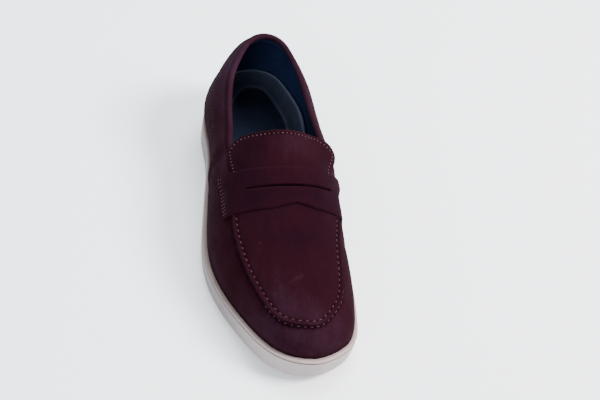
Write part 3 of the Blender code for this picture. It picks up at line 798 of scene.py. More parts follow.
class Finish:
    """A material made from nodes round one Principled shader."""

    def __init__(self, name):
        self.material = bpy.data.materials.new(name)
        self.material.use_nodes = True
        self.tree = self.material.node_tree
        self.shader = self.tree.nodes["Principled BSDF"]

    def node(self, kind, settings, inputs, output=0):
        """New node: its settings first, then the values or links of its sockets."""
        made = self.tree.nodes.new(kind)
        for name, value in settings.items():
            setattr(made, name, value)
        for key, value in inputs.items():
            self.join(made.inputs[key], value)
        return Wire(self, made.outputs[output])

    def join(self, socket, value):
        """Link a wire to a socket, or set the socket's own value."""
        if isinstance(value, Wire):
            self.tree.links.new(value.socket, socket)
        elif socket.type == "RGBA" and len(value) == 3:
            socket.default_value = (*value, 1)
        else:
            socket.default_value = value

    def set(self, **inputs):
        """Values or links of the shader's sockets, named as in SOCKETS."""
        for name, value in inputs.items():
            self.join(self.shader.inputs[SOCKETS[name]], value)

    def dress(self, colour, surface, height, shade=0.0):
        """Colour, roughness, gloss and relief of a surface, which is smoother where shade is 1."""
        rough = surface.rough - shade * surface.smoother
        bent = self.bump(height, surface.relief)
        self.set(colour=colour, roughness=rough, gloss=surface.gloss, normal=bent)

    def place(self):
        """Place on the object, in metres."""
        return self.node("ShaderNodeTexCoord", {}, {}, "Object")

    def tone(self):
        """Tone of the mesh at each point: the light and shade painted into its colour."""
        return self.node("ShaderNodeAttribute", {"attribute_name": TONE}, {}, 2)

    def stretched(self, vector, scale):
        """Place multiplied along each axis."""
        inputs = {0: vector, 1: scale}
        return self.node("ShaderNodeVectorMath", {"operation": "MULTIPLY"}, inputs)

    def noise(self, vector, kind):
        """Noise of one of the kinds in the table."""
        inputs = {"Vector": vector, "Scale": MM / kind.grain}
        inputs.update({"Detail": kind.detail, "Roughness": kind.rough})
        return self.node("ShaderNodeTexNoise", {}, inputs)

    def span(self, value, low, high, kind="LINEAR"):
        """Value stretched to 0 at low and 1 at high, and kept between them."""
        inputs = {"Value": value, "From Min": low, "From Max": high}
        return self.node("ShaderNodeMapRange", {"interpolation_type": kind}, inputs)

    def mix(self, share, first, second):
        """Colour between two."""
        settings = {"data_type": "RGBA"}
        inputs = {"Factor": share, 6: first, 7: second}
        return self.node("ShaderNodeMix", settings, inputs, 2)

    def distance(self, vector, point):
        """Distance from a point, in metres."""
        inputs = {0: vector, 1: point}
        return self.node("ShaderNodeVectorMath", {"operation": "DISTANCE"}, inputs, 1)

    def spot(self, vector, centre, radius):
        """1 at a point, in metres, falling to 0 at a radius."""
        return self.span(self.distance(vector, centre), radius, 0.0, "SMOOTHSTEP")

    def streak(self, vector, start, end, width):
        """1 on the line between two points, in metres, falling to 0 at a half width in its middle."""
        way_round = self.distance(vector, start) + self.distance(vector, end)
        length = math.dist(start, end)
        return self.span(way_round, math.hypot(length, 2 * width), length, "SMOOTHSTEP")

    def bump(self, height, depth):
        """Normal bent by a height of 0 to 1, in millimetres."""
        inputs = {"Height": height, "Distance": depth / MM, "Strength": 1.0}
        return self.node("ShaderNodeBump", {}, inputs)


def over_origin(point):
    """A point of the last's own sizes in the frame, in metres."""
    return tuple(((np.asarray(point, float) - MIDDLE) / MM).tolist())


def darker(colour, share):
    """A share of a colour."""
    return tuple(share * channel for channel in colour)


def suede_finish(settings):
    """Brushed suede: short nap, dark and light patches, painted light and shade from the mesh's tone, a
    soft sheen at the edges.
    """
    finish = Finish("brushed_suede")
    place = finish.place()
    cloud = finish.noise(place, SUEDE_CLOUD)
    brushed = finish.noise(finish.stretched(place, BRUSH_STRETCH), SUEDE_BRUSH)
    grain = finish.noise(place, SUEDE_GRAIN)
    light = (cloud - NOISE_MEAN) * CLOUD_PART + (brushed - NOISE_MEAN) * BRUSH_PART
    # the mesh's tone adds the painted light and shade
    light = light + (grain - NOISE_MEAN) * GRAIN_PART + NAP_LIGHT + finish.tone()
    # patches: partly the nap, partly painted light and shade
    for patch in PATCHES:
        spot = finish.spot(place, over_origin((patch.x, patch.y, patch.z)), patch.radius / MM)
        light = light + spot * (PATCH_PART * patch.lightness)
    for scuff in SCUFFS:
        ends = over_origin(scuff.start), over_origin(scuff.end)
        light = light + finish.streak(place, *ends, scuff.width / MM) * scuff.lightness
    colour = finish.mix(finish.span(light, 0.0, RED_LIGHT), settings.colour_low, settings.colour_high)
    # lightest places go dusty: the nap's bloom and the painted sheen of lit sides and rims
    colour = finish.mix(finish.span(light, RED_LIGHT, 1.0), colour, settings.colour_bloom_and_sheen)
    nap = finish.noise(place, SUEDE_NAP)
    ruffle = finish.noise(finish.stretched(place, RUFFLE_STRETCH), SUEDE_RUFFLE)
    height = nap * NAP_PART + ruffle * (1 - NAP_PART)
    surface = Surface(*SUEDE_SHINE, settings.nap_depth * MM)
    finish.dress(colour, surface, height, finish.span(light, 0.0, 1.0))
    finish.set(sheen=settings.sheen, sheen_roughness=SHEEN_ROUGH, sheen_tint=settings.sheen_colour)
    return finish.material


def lining_finish(settings):
    """Close dark cloth lining."""
    finish = Finish("cloth_lining")
    place = finish.place()
    weave = finish.noise(place, LINING_WEAVE)
    cloud = finish.noise(place, LINING_CLOUD)
    shade = finish.span(cloud * COARSE_PART + weave * (1 - COARSE_PART), *CLOUD_SPAN)
    cloth = settings.lining_colour
    finish.dress(finish.mix(shade, darker(cloth, LINING_LOW), cloth), LINING_SURFACE, weave, shade)
    return finish.material


def insole_finish(settings):
    """Smooth dark leather of the footbed, with painted shade towards the tongue and a painted highlight
    on its rim and slopes.
    """
    finish = Finish("footbed_leather")
    place = finish.place()
    shade = finish.span(finish.noise(place, INSOLE_CLOUD), *CLOUD_SPAN)
    pebble = finish.node("ShaderNodeTexVoronoi", {}, {"Vector": place, "Scale": MM / INSOLE_PEBBLE})
    leather = settings.insole_colour
    colour = finish.mix(shade, darker(leather, INSOLE_LOW), leather)
    # painted shade on the footbed under the tongue
    seat = finish.spot(place, over_origin(TONGUE_SHADE_PLACE), TONGUE_SHADE_RADIUS / MM)
    colour = finish.mix(seat, colour, darker(leather, TONGUE_SHADE))
    # painted highlight on the rim and its slopes
    worn = finish.tone() * (HIGHLIGHT_PART + (1 - HIGHLIGHT_PART) * shade)
    colour = finish.mix(worn, colour, settings.rim_highlight_colour)
    finish.dress(colour, INSOLE_SURFACE, pebble, shade)
    return finish.material


def rubber_finish(name, colour, speckle):
    """Moulded pale rubber with faint clouds and specks, darkened by painted shade where its tone says so.
    """
    finish = Finish(name)
    place = finish.place()
    cloud = finish.noise(place, RUBBER_CLOUD)
    fine = finish.noise(place, RUBBER_GRAIN)
    specks = finish.span(finish.noise(place, RUBBER_SPECKS), *SPECK_SPAN)
    shade = finish.span(cloud * COARSE_PART + fine * (1 - COARSE_PART), *RUBBER_SPAN)
    rubber = finish.mix(shade, darker(colour, RUBBER_LOW), colour)
    rubber = finish.mix(specks * speckle, rubber, darker(colour, RUBBER_SPECK))
    # painted shade from the mesh's tone
    rubber = finish.mix(finish.tone(), rubber, darker(colour, RUBBER_SHADE))
    finish.dress(rubber, RUBBER_SURFACE, fine, shade)
    return finish.material


def thread_finish(name, colour):
    """Waxed sewing thread."""
    finish = Finish(name)
    place = finish.place()
    shade = finish.noise(place, THREAD_SHADE)
    fuzz = finish.noise(place, THREAD_FUZZ)
    finish.dress(finish.mix(shade, darker(colour, THREAD_LOW), colour), THREAD_SURFACE, fuzz)
    return finish.material


def hole_finish(settings):
    """Painted shade of the needle holes, on flat dark lenses laid over them."""
    finish = Finish("needle_hole_shade")
    fuzz = finish.noise(finish.place(), HOLE_FUZZ)
    low, high = (darker(settings.colour_low, share) for share in HOLE_SHARES)
    finish.dress(finish.mix(fuzz, low, high), HOLE_SURFACE, fuzz)
    return finish.material


def shared_finish(name, make, *given):
    """The material of that name, made the first time."""
    return bpy.data.materials.get(name) or make(*given)


def suede(context):
    """Suede of all the pieces of the upper."""
    return shared_finish("brushed_suede", suede_finish, context.scene.loafer_suede)


def lining(context):
    """Lining inside the upper."""
    return shared_finish("cloth_lining", lining_finish, context.scene.loafer_inside)


def needle_hole(context):
    """Shade in the needle holes."""
    return shared_finish("needle_hole_shade", hole_finish, context.scene.loafer_suede)


def thread(context, name):
    """Thread of one of the colours in the settings."""
    return shared_finish(name, thread_finish, name, getattr(context.scene.loafer_stitching, name))


def welded(points, faces):
    """Which points stay when coincident ones are joined, and the faces on them."""
    keys = np.round(points / WELD).astype(np.int64)
    _, first, index = np.unique(keys, axis=0, return_index=True, return_inverse=True)
    index = index.reshape(-1)
    corners = [tuple(dict.fromkeys(index[list(face)].tolist())) for face in faces]
    return first, corners


def new_piece(name, points, faces, materials, node=None, indices=None, tone=None):
    """Mesh piece of the shoe from points in millimetres, riding on the shoe's one body.

    indices give the material of each face, and tone the light and shade painted at each point.
    """
    first, corners = welded(points, faces)
    kept = [number for number, face in enumerate(corners) if len(face) > 2]
    mesh = bpy.data.meshes.new(name)
    places = ((points[first] - MIDDLE) / MM).tolist()
    mesh.from_pydata(places, [], [corners[number] for number in kept])
    for material in materials:
        mesh.materials.append(material)
    if tone is not None:
        shades = mesh.attributes.new(TONE, "FLOAT", "POINT")
        shades.data.foreach_set("value", np.asarray(tone, float)[first])
    if indices is not None:
        mesh.polygons.foreach_set("material_index", np.asarray(indices)[kept])
    mesh.validate()
    mesh.shade_smooth()
    mesh.set_sharp_from_angle(angle=math.radians(SHARP_ANGLE))
    piece = bpy.data.objects.new(name, mesh)
    bpy.context.scene.collection.objects.link(piece)
    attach(piece, "root")
    if node:
        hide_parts(node)
    return piece


def sheet_faces(columns, rows, ridge=False, slot=None, meeting=None):
    """Faces of a closed solid between two open grids of points, the second under the first.

    ridge leaves out the wall at the last row, where two halves meet. slot is a span of columns
    that is left open, and meeting tells for each span of rows whether its two sides meet there.
    """
    under = columns * rows
    faces = []
    for i in range(columns - 1):
        if i == slot:
            continue
        for j in range(rows - 1):
            a, b = i * rows + j, (i + 1) * rows + j
            c, d = b + 1, a + 1
            faces.append((a, b, c, d))
            faces.append((under + d, under + c, under + b, under + a))
            parted = slot is not None and not meeting[j]
            walls = [
                (a, b, j == 0),
                (b, c, i == columns - 2 or (parted and i == slot - 1)),
                (c, d, j == rows - 2 and not ridge),
                (d, a, i == 0 or (parted and i == slot + 1)),
            ]
            for start, end, needed in walls:
                if needed:
                    faces.append((start, under + start, under + end, end))
    return faces


def ring_faces(rings, columns, closed):
    """Faces between rings round the foot, joined last to first where the profile is closed."""
    faces = []
    for level in range(rings if closed else rings - 1):
        low, high = level * columns, (level + 1) % rings * columns
        for i in range(columns):
            after = (i + 1) % columns
            faces.append((low + i, low + after, high + after, high + i))
    return faces


def cap_grid(ring, start, upward):
    """Points and faces that close a ring across the foot, the faces numbered from start."""
    count = len(ring)
    outer = ring[: SIDE_COLUMNS + 1]
    inner = ring[-np.arange(SIDE_COLUMNS + 1) % count]
    shares = np.linspace(0, 1, CAP_ROWS + 1)[None, :, None]
    points = outer[:, None] * (1 - shares) + inner[:, None] * shares
    rows = CAP_ROWS + 1
    faces = []
    for i in range(SIDE_COLUMNS):
        for j in range(CAP_ROWS):
            a, b = start + i * rows + j, start + (i + 1) * rows + j
            face = (a, b, b + 1, a + 1)
            faces.append(face if upward else face[::-1])
    return points.reshape(-1, 3), faces


class Sheet:
    """Grid of points on a piece, with its normals, that a row of stitches can be traced on."""

    def __init__(self, points):
        self.points = points
        along = np.gradient(points, axis=0)
        across = np.gradient(points, axis=1)
        self.normals = unit(np.cross(along, across))

    def at(self, columns, rows):
        """Points and normals at fractional columns and rows."""
        i = np.clip(columns.astype(int), 0, len(self.points) - 2)
        j = np.clip(rows.astype(int), 0, self.points.shape[1] - 2)
        u, v = (columns - i)[:, None], (rows - j)[:, None]

        def between(grid):
            near = grid[i, j] * (1 - u) + grid[i + 1, j] * u
            far = grid[i, j + 1] * (1 - u) + grid[i + 1, j + 1] * u
            return near * (1 - v) + far * v

        return between(self.points), unit(between(self.normals))


Stitch = namedtuple("Stitch", "pitch length thickness slant thread")


class Row:
    """A line of points and normals that stitches are spaced along."""

    def __init__(self, points, normals, pitch):
        self.points = points
        self.normals = normals
        self.run = run_of(points)
        self.count = max(1, int(round(self.run[-1] / pitch)))
        self.pitch = self.run[-1] / self.count

    def axes(self, places):
        """Centre, direction along the row, direction across it and normal at places along it."""
        def on_line(values, where):
            return np.stack([np.interp(where, self.run, values[:, axis]) for axis in range(3)], -1)

        centre = on_line(self.points, places)
        ahead = on_line(self.points, places + TANGENT_STEP)
        ahead = ahead - on_line(self.points, places - TANGENT_STEP)
        up = unit(on_line(self.normals, places))
        across = unit(np.cross(up, ahead))
        return centre, unit(ahead), across, up


def tube_faces(count):
    """Faces of closed tubes of THREAD_RINGS rings of THREAD_SIDES points, one after the other."""
    faces = []
    for number in range(count):
        first = number * THREAD_RINGS * THREAD_SIDES
        for level in range(THREAD_RINGS - 1):
            low = first + level * THREAD_SIDES
            for k in range(THREAD_SIDES):
                after = (k + 1) % THREAD_SIDES
                faces.append((low + THREAD_SIDES + k, low + THREAD_SIDES + after, low + after, low + k))
        final = first + (THREAD_RINGS - 1) * THREAD_SIDES
        faces.append(tuple(range(first, first + THREAD_SIDES)))
        faces.append(tuple(range(final + THREAD_SIDES - 1, final - 1, -1)))
    return faces


def tubes(centre, along, across, up, lengths, wide, high, lift):
    """Points of short tubes: half widths, half heights and lifts are given ring by ring."""
    places = THREAD_PLACES[None, :, None]
    spine = centre[:, None] + along[:, None] * (places * lengths[:, None, None] / 2)
    spine = spine + up[:, None] * lift[None, :, None]
    out = across[:, None, None] * (wide * np.cos(THREAD_ANGLES))[None, :, :, None]
    over = up[:, None, None] * (high * np.sin(THREAD_ANGLES))[None, :, :, None]
    return (spine[:, :, None] + out + over).reshape(-1, 3)


def stitch_points(row, stitch, seed):
    """Points of the stitches along a row, each a short bent thread with a twist."""
    random = np.random.default_rng(seed)
    centre, ahead, across, up = row.axes((np.arange(row.count) + 0.5) * row.pitch)
    slant = stitch.slant + random.uniform(-SLANT_SPREAD, SLANT_SPREAD, row.count)
    along = unit(ahead + slant[:, None] * across)
    lengths = stitch.length * random.uniform(1 - LENGTH_SPREAD, 1 + LENGTH_SPREAD, row.count)
    radius = stitch.thickness / 2
    lift = radius * (THREAD_ARCH * (1 - THREAD_PLACES**2) - THREAD_SINK)
    thick = radius * np.sqrt(np.clip(1 + THREAD_TIP - THREAD_PLACES**THREAD_BLUNT, 0, 1))
    plies = np.cos(THREAD_PLIES * THREAD_ANGLES[None, :] + PLY_TURN * THREAD_PLACES[:, None])
    ply = thick[:, None] * (1 + THREAD_TWIST * plies)
    return tubes(centre, along, across, up, lengths, ply, ply, lift)


def hole_points(row, stitch):
    """Points of flat dark lenses between the stitches of a row, which paint the shade of the needle
    holes.
    """
    centre, ahead, across, up = row.axes((np.arange(row.count - 1) + 1.0) * row.pitch)
    lengths = np.full(row.count - 1, HOLE_LENGTH * (row.pitch - stitch.length))
    size = stitch.thickness * np.sqrt(np.clip(1 + HOLE_TIP - THREAD_PLACES**2, 0, 1))[:, None]
    flat = np.zeros(THREAD_RINGS)
    return tubes(centre, ahead, across, up, lengths, HOLE_WIDTH * size, HOLE_DEPTH * size, flat)


def sew(context, name, lines, stitch, pierced=None):
    """Stitches along lines of points and normals, and the painted shade of needle holes between them or
    along pierced.
    """
    rows = [Row(points, normals, stitch.pitch) for points, normals in lines]
    threads = [stitch_points(row, stitch, STITCH_SEED + number) for number, row in enumerate(rows)]
    faces = tube_faces(sum(row.count for row in rows))
    materials = [thread(context, stitch.thread)]
    new_piece(name + "_stitches", np.concatenate(threads), faces, materials)
    if pierced:
        rows = [Row(points, normals, stitch.pitch) for points, normals in pierced]
    holes = [hole_points(row, stitch) for row in rows]
    faces = tube_faces(sum(row.count - 1 for row in rows))
    new_piece(name + "_needle_holes", np.concatenate(holes), faces, [needle_hole(context)])


def stitch_of(context, kind, thread_name, slant=0.0):
    """Stitch of the moccasin seam or of a fine row, in a thread of that name."""
    settings = context.scene.loafer_stitching
    sizes = (getattr(settings, f"{kind}_{size}") for size in ("pitch", "stitch", "thread"))
    return Stitch(*(MM * size for size in sizes), slant, thread_name)


def seam_gaps(context):
    """0 at each outer stitch of the moccasin seam and 1 between two, at each column."""
    pitch = context.scene.loafer_stitching.seam_pitch * MM
    return 0.5 - 0.5 * np.cos(2 * math.pi * (SEAM_RUN - SEAM_RUN[SIDE_COLUMNS]) / pitch)


def collar_bulge(lengths):
    """How far the padding pushes the collar out, at lengths up the ribs."""
    place = np.clip((lengths - SEAM_LENGTHS[:, None]) / (TOPS - SEAM_LENGTHS)[:, None], 0, 1)
    padded = 1 - fade(SHARES, PAD_FADE)
    return PAD_BULGE * np.sin(math.pi * place) * padded[:, None]


def upper_profile(context):
    """Points of the upper, column by column: up the outside, over the rim and down the inside.

    With them come the numbers of rows on the outside, over the rim and turned in, and the tones.
    """
    angle, side = ANGLES[:, None], SIDES[:, None]
    seam = SEAM_LENGTHS[:, None]
    padding = COLLAR_PAD * (1 - fade(SHARES, PAD_FADE))
    roll = RIM_ROUND * (UPPER_WALL + padding) * np.sqrt(1 - closing_of(SHARES) ** 2)
    base = (TOPS - roll)[:, None]
    crown = base - seam
    wall = seam * np.linspace(0, 1, WALL_ROWS + 1) ** WALL_CROWD
    lengths = np.concatenate([wall, seam + crown * np.linspace(0, 1, CROWN_ROWS + 1)[1:]], axis=1)
    rise = rises_at_lengths(ANGLES, SIDES, lengths)
    under_seam = np.clip(seam - lengths, 0, None)
    front = SEAM_FRONT[:, None]
    puckers = PUCKER * seam_gaps(context)[:, None] * front * bell(under_seam, PUCKER_RUN)
    outer = lifted(angle, side, rise, collar_bulge(lengths) - puckers)
    # painted shade in the crevice under the apron seam and over the welt
    tone = CREVICE * front * bell(under_seam, CREVICE_WIDTH)
    tone = tone + FEATHER_SHADE * bell(lengths, FEATHER_WIDTH)

    turned = np.minimum(RIM_SUEDE, TURNED_MOST * crown)
    turned_rows = [base, base - turned / 2, base - turned]
    lined_rows = [
        seam + (crown - turned) * np.linspace(1, 0, CROWN_ROWS)[1:],
        seam * np.linspace(1, 0, WALL_ROWS // 2)[1:],
    ]
    inside = np.concatenate(turned_rows + lined_rows, axis=1)
    swelling = fade(inside - seam, (0.0, PAD_RISE * BAND_WIDTH))
    inner_rise = rises_at_lengths(ANGLES, SIDES, inside)
    inner = lifted(angle, side, inner_rise, -(UPPER_WALL + padding[:, None] * swelling))

    turn = math.pi * np.arange(1, RIM_ROWS + 1) / (RIM_ROWS + 1)
    middle = (outer[:, -1] + inner[:, 0])[:, None] / 2
    half = (outer[:, -1] - inner[:, 0])[:, None] / 2
    top_rise = rise[:, -1:]
    up = unit(last(angle, side, top_rise) - last(angle, side, top_rise - STEP))
    over = up * (roll[:, None] * np.sin(turn))[..., None]
    rim = middle + half * np.cos(turn)[None, :, None] + over

    drop = np.array([0, 0, WELT_HEIGHT - GAP])
    foot = outer[:, :1] - drop
    inner_foot = outer[:, :1] - outward(angle, side) * UPPER_WALL - drop
    points = np.concatenate([foot, outer, rim, inner, inner_foot], axis=1)
    counts = [1 + outer.shape[1], RIM_ROWS, len(turned_rows)]
    # painted highlight over the rolled rim and the suede turned in
    tones = np.full(points.shape[:2], RIM_LIGHT)
    tones[:, 0] = FEATHER_SHADE
    tones[:, 1 : counts[0]] = tone
    return points, counts, tones


def build_upper(context):
    """Vamp and quarters with their rolled, padded collar and the lining inside."""
    points, (outside, rim, turned), tones = upper_profile(context)
    columns, rows = points.shape[:2]
    behind = SHARES < THROAT_SHARE + STEP
    is_open = behind & np.roll(behind, -1)
    lined_from = outside + rim + turned - 1
    faces, indices = [], []
    for i in range(columns):
        after = (i + 1) % columns
        for j in range(rows):
            over_rim = outside - 1 <= j < outside + rim
            if over_rim and not is_open[i]:
                continue
            up = (j + 1) % rows
            faces.append((i * rows + j, after * rows + j, after * rows + up, i * rows + up))
            inside = j >= lined_from or (j >= outside + rim and not is_open[i])
            indices.append(1 if inside and j < rows - 1 else 0)
    materials = [suede(context), lining(context)]
    points = points.reshape(-1, 3)
    new_piece("upper_shell", points, faces, materials, "upper", indices, tones.ravel())


def layered_piece(context, name, outer, inner, faces, tone, node):
    """Suede piece between an outer and an inner grid, with painted shade on its cut edges towards the
    underside.
    """
    points = np.concatenate([outer.reshape(-1, 3), inner.reshape(-1, 3)])
    # the underside gets painted shade, so that each cut edge darkens towards it
    tones = np.concatenate([np.ravel(tone), np.full(inner.shape[0] * inner.shape[1], CUT_EDGE)])
    new_piece(name, points, faces, [suede(context)], node, tone=tones)


def build_apron(context):
    """Apron with its raised moccasin seam, and the two rows of stitches along it."""
    front = np.flatnonzero(SHARES > THROAT_SHARE - STEP)
    angle, side = ANGLES[front], SIDES[front]
    seam, top = SEAM_LENGTHS[front, None], TOPS[front, None]
    insets = np.array([row.inset for row in BEAD])
    fine = np.unique(np.concatenate([insets, (insets[1:] + insets[:-1]) / 2]))
    inner_rows = fine[-1] + (top - seam - fine[-1]) * np.linspace(0, 1, APRON_ROWS + 1)[1:]
    inset = np.concatenate([np.broadcast_to(fine, (len(front), len(fine))), inner_rows], axis=1)
    rise = rises_at_lengths(angle, side, seam + inset)
    height = Curve(insets, [row.height for row in BEAD])(np.minimum(inset, insets[-1]))
    flat = GAP + APRON_THICK * rounded_edge(inset, SEWN_EDGE)
    raised = SEAM_FRONT[front, None]
    drawn = PINCH * seam_gaps(context)[front, None] * bell(inset - OUTER_ROW, PINCH_WIDTH)
    outer = lifted(angle[:, None], side[:, None], rise, flat + raised * (height - flat - drawn))
    inner = lifted(angle[:, None], side[:, None], rise, GAP)
    # painted shade on the bead's crest, in the groove of the inner row and in the crevice at the apron's
    # edge
    tone = BEAD_LIGHT * bell(inset - BEAD_CREST, BEAD_WIDTH)
    tone = tone + GROOVE * bell(inset - INNER_ROW, GROOVE_WIDTH)
    tone = raised * tone + CREVICE * bell(inset, EDGE_ROUND)
    faces = sheet_faces(*outer.shape[:2], ridge=True)
    layered_piece(context, "apron_plug", outer, inner, faces, tone, "apron")

    def line(row_inset, there):
        place = np.interp(row_inset, fine, np.arange(len(fine)))
        return sheet.at(there.astype(float), np.full(len(there), place))

    sheet = Sheet(outer)
    sewn = np.flatnonzero(raised[:, 0] > SEWN_FROM)
    round_toe = np.flatnonzero(SHARES[front] > by_name(side, ROW_SHOWN))
    threads = [line(OUTER_ROW, round_toe), line(INNER_ROW, sewn)]
    pierced = [line(OUTER_ROW, sewn), line(INNER_ROW, sewn)]
    sew(context, "apron", threads, stitch_of(context, "seam", "dark_thread", SEAM_SLANT), pierced)


def build_collar_band(context):
    """Strip round the collar, thinned out at its top, with the stitches along its lower edge."""
    order = np.roll(np.arange(len(ANGLES)), SIDE_COLUMNS)
    order = order[SHARES[order] < BAND_END]
    place = np.linspace(0, 1, BAND_ROWS + 1) ** BAND_CROWD
    up = BAND_TOP * (TOPS - SEAM_LENGTHS)[:, None] * place
    lengths = SEAM_LENGTHS[:, None] + up
    rise = rises_at_lengths(ANGLES, SIDES, lengths)
    thinned = 1 - BAND_THIN * fade(place, BAND_FADE)
    base = collar_bulge(lengths) + GAP * thinned
    thick = BAND_THICK * rounded_edge(up, SEWN_EDGE) * thinned
    drawn = BAND_DRAW * bell(up - BAND_ROW, DRAW_WIDTH)
    angle, side = ANGLES[:, None], SIDES[:, None]
    outer = lifted(angle, side, rise, base + thick - drawn)[order]
    inner = lifted(angle, side, rise, base)[order]
    columns, rows = outer.shape[:2]
    # painted highlight rising up the collar band, painted shade at its sewn lower edge
    tone = RIM_LIGHT * fade(place, LIGHT_FADE) + CREVICE * bell(up[order], EDGE_ROUND)
    layered_piece(context, "collar_strip", outer, inner, sheet_faces(columns, rows), tone, "collar_band")

    row = np.array([np.interp(BAND_ROW, heights, np.arange(rows)) for heights in up[order]])
    line = Sheet(outer).at(np.arange(columns, dtype=float), row)
    sew(context, "collar", [line], stitch_of(context, "fine", "collar_thread"))


def rise_table(low_length):
    """Rises at a length up the ribs, over a table of angles, for the two sides."""
    angles = np.linspace(2 * STEP, math.pi - 2 * STEP, TABLE_ANGLES)
    tables = {}
    for side in (OUTER, INNER):
        sides = np.full(TABLE_ANGLES, side)
        tables[side] = rises_at_lengths(angles, sides, low_length(angles, sides)[:, None])[:, 0]
    return angles, tables


def across_grid(rear, front, low_length, across, rows):
    """Angles, sides and rises of a grid over the instep, from its rear to its front edge.

    rear and front give the edges' places along the foot at a place across it, from -1 at the
    outer end to 1 at the inner one, low_length the length up the ribs at which a side ends, and
    rows the shares of the way from edge to edge.
    """
    across = across[None, :]
    reach = np.abs(across)
    along = rear(across) + rows * (front(across) - rear(across))
    side = np.broadcast_to(np.where(across < 0, OUTER, INNER), along.shape)
    angles, tables = rise_table(low_length)

    def rise_of(angle):
        outer, inner = (np.interp(angle, angles, tables[name]) for name in (OUTER, INNER))
        return 1 - reach * (1 - np.where(side < 0, outer, inner))

    share = (along - HEEL_END) / FEATHER_LENGTH
    for _ in range(PLACE_ROUNDS):
        angle = angle_of(share)
        reached = last(angle, side, rise_of(angle))[..., 0]
        share = np.clip(share + (along - reached) / FEATHER_LENGTH, STEP, 1 - STEP)
    angle = angle_of(share)
    return angle, side, rise_of(angle)


def edge_run(points, axis):
    """Distance of each grid point to the nearer of the two edges across an axis."""
    lines = np.moveaxis(points, axis, 0)
    steps = np.linalg.norm(np.diff(lines, axis=0), axis=-1)
    run = np.zeros(lines.shape[:-1])
    run[1:] = np.cumsum(steps, axis=0)
    return np.moveaxis(np.minimum(run, run[-1] - run), 0, axis)


def free_edge_path(run_across, run_along, insets):
    """Columns and rows of a line inside the tongue's edge: up one side, along the rear, down the other.

    The runs are the distances from the edges, and insets those of the line at each row.
    """
    columns, rows = run_across.shape
    middle, half = rows // 2, columns // 2
    left = [np.interp(insets[0], run[:middle], np.arange(middle)) for run in run_across]
    right = [rows - 1 - np.interp(insets[-1], run[:middle:-1], np.arange(rows - 1 - middle))
             for run in run_across]
    back = [np.interp(insets[j], run_along[:half, j], np.arange(half)) for j in range(rows)]
    start = int(np.ceil(max(back)))
    column_path = np.concatenate([np.arange(columns - 1, start, -1), back, np.arange(start, columns)])
    row_path = np.concatenate([left[:start:-1], np.arange(rows), right[start:]])
    inside = (row_path > left[start] - 1) & (row_path < right[start] + 1)
    return column_path[inside], row_path[inside]


def build_tongue(context):
    """Tongue flap with its row of stitches round the free edge."""
    def edge_length(angle, side):
        height = TOP_HEIGHT(np.clip(share_of(angle), 0, TOP_LINE[-1].share))
        edge = rise_at_height(angle, side, height)
        return lengths_at_rises(angle, side, edge) + by_name(side, TONGUE_SIDE)

    def rear(across):
        return TONGUE_REAR - TONGUE_SWEEP * across**2 + TONGUE_CORNER * across**CORNER_POWER

    def front(across):
        return np.full_like(across, TONGUE_FRONT)

    spans_along, spans_across = TONGUE_GRID
    across = np.sin(np.linspace(-1, 1, spans_across + 1) * math.pi / 2)
    shares = (np.linspace(0, 1, spans_along + 1) ** TONGUE_CROWD)[:, None]
    angle, side, rise = across_grid(rear, front, edge_length, across, shares)
    along = last(angle, side, rise)[..., 0]
    spread = fade(np.abs(across), FLARE_REACH) * (1 - fade(along, FLARE_FADE))
    off = GAP + by_name(side, TONGUE_FLARE) * spread
    base = lifted(angle, side, rise, off)
    run_across, run_along = edge_run(base, 1), edge_run(base, 0)
    edge = np.minimum(run_along, run_across)
    row_in = TONGUE_ROW + ROW_DRIFT * fade(across, DRIFT_REACH)
    drawn = FINE_DRAW * bell(edge - row_in, DRAW_WIDTH)
    thick = TONGUE_THICK * rounded_edge(edge, FREE_EDGE) - drawn + TONGUE_PAD * fade(edge, TONGUE_PAD_RUN)
    outer = lifted(angle, side, rise, off + thick)
    # painted shade along the tongue's row of stitches
    tone = GROOVE * bell(edge - row_in, GROOVE_WIDTH)
    layered_piece(context, "tongue_flap", outer, base, sheet_faces(*outer.shape[:2]), tone, "tongue")

    points, normals = Sheet(outer).at(*free_edge_path(run_across, run_along, row_in))
    seen = points[:, 0] < STRAP_REAR
    sew(context, "tongue", [(points[seen], normals[seen])], stitch_of(context, "fine", "pale_thread"))


def strap_rear(across):
    """Place of the strap's rear edge along the foot."""
    return STRAP_REAR - by_name(across, STRAP_REAR_SWEEP) * across**2


def strap_whole_front(across):
    """Place of its front edge before that is notched."""
    return STRAP_FRONT - by_name(across, STRAP_FRONT_SWEEP) * across**2


def strap_front(across):
    """Place of its front edge with the notch."""
    notch = STRAP_NOTCH * np.clip(1 - np.abs(across) / STRAP_NOTCH_SPAN, 0, 1)
    return strap_whole_front(across) - notch


def strap_grid():
    """Half widths of the slot across the strap, and the angles, sides and rises of the strap's grid."""
    def end_length(_, side):
        return by_name(side, STRAP_END)

    across = np.linspace(-1, 1, STRAP_COLUMNS + 1)
    closing = np.abs(across / SLOT_SPAN) ** by_name(across, SLOT_ENDS)
    opened = np.sqrt(np.clip(1 - closing, 0, 1)) * SLOT_HALF
    rear, front = strap_rear(across), strap_front(across)
    slot = (SLOT_PLACE - SLOT_SKEW * across) * (strap_whole_front(across) - rear) / (front - rear)
    steps = np.linspace(0, 1, STRAP_ROWS + 1)[:, None]
    shares = np.concatenate([steps * (slot - opened), slot + opened + steps * (1 - slot - opened)])
    return opened, across_grid(strap_rear, strap_front, end_length, across, shares)


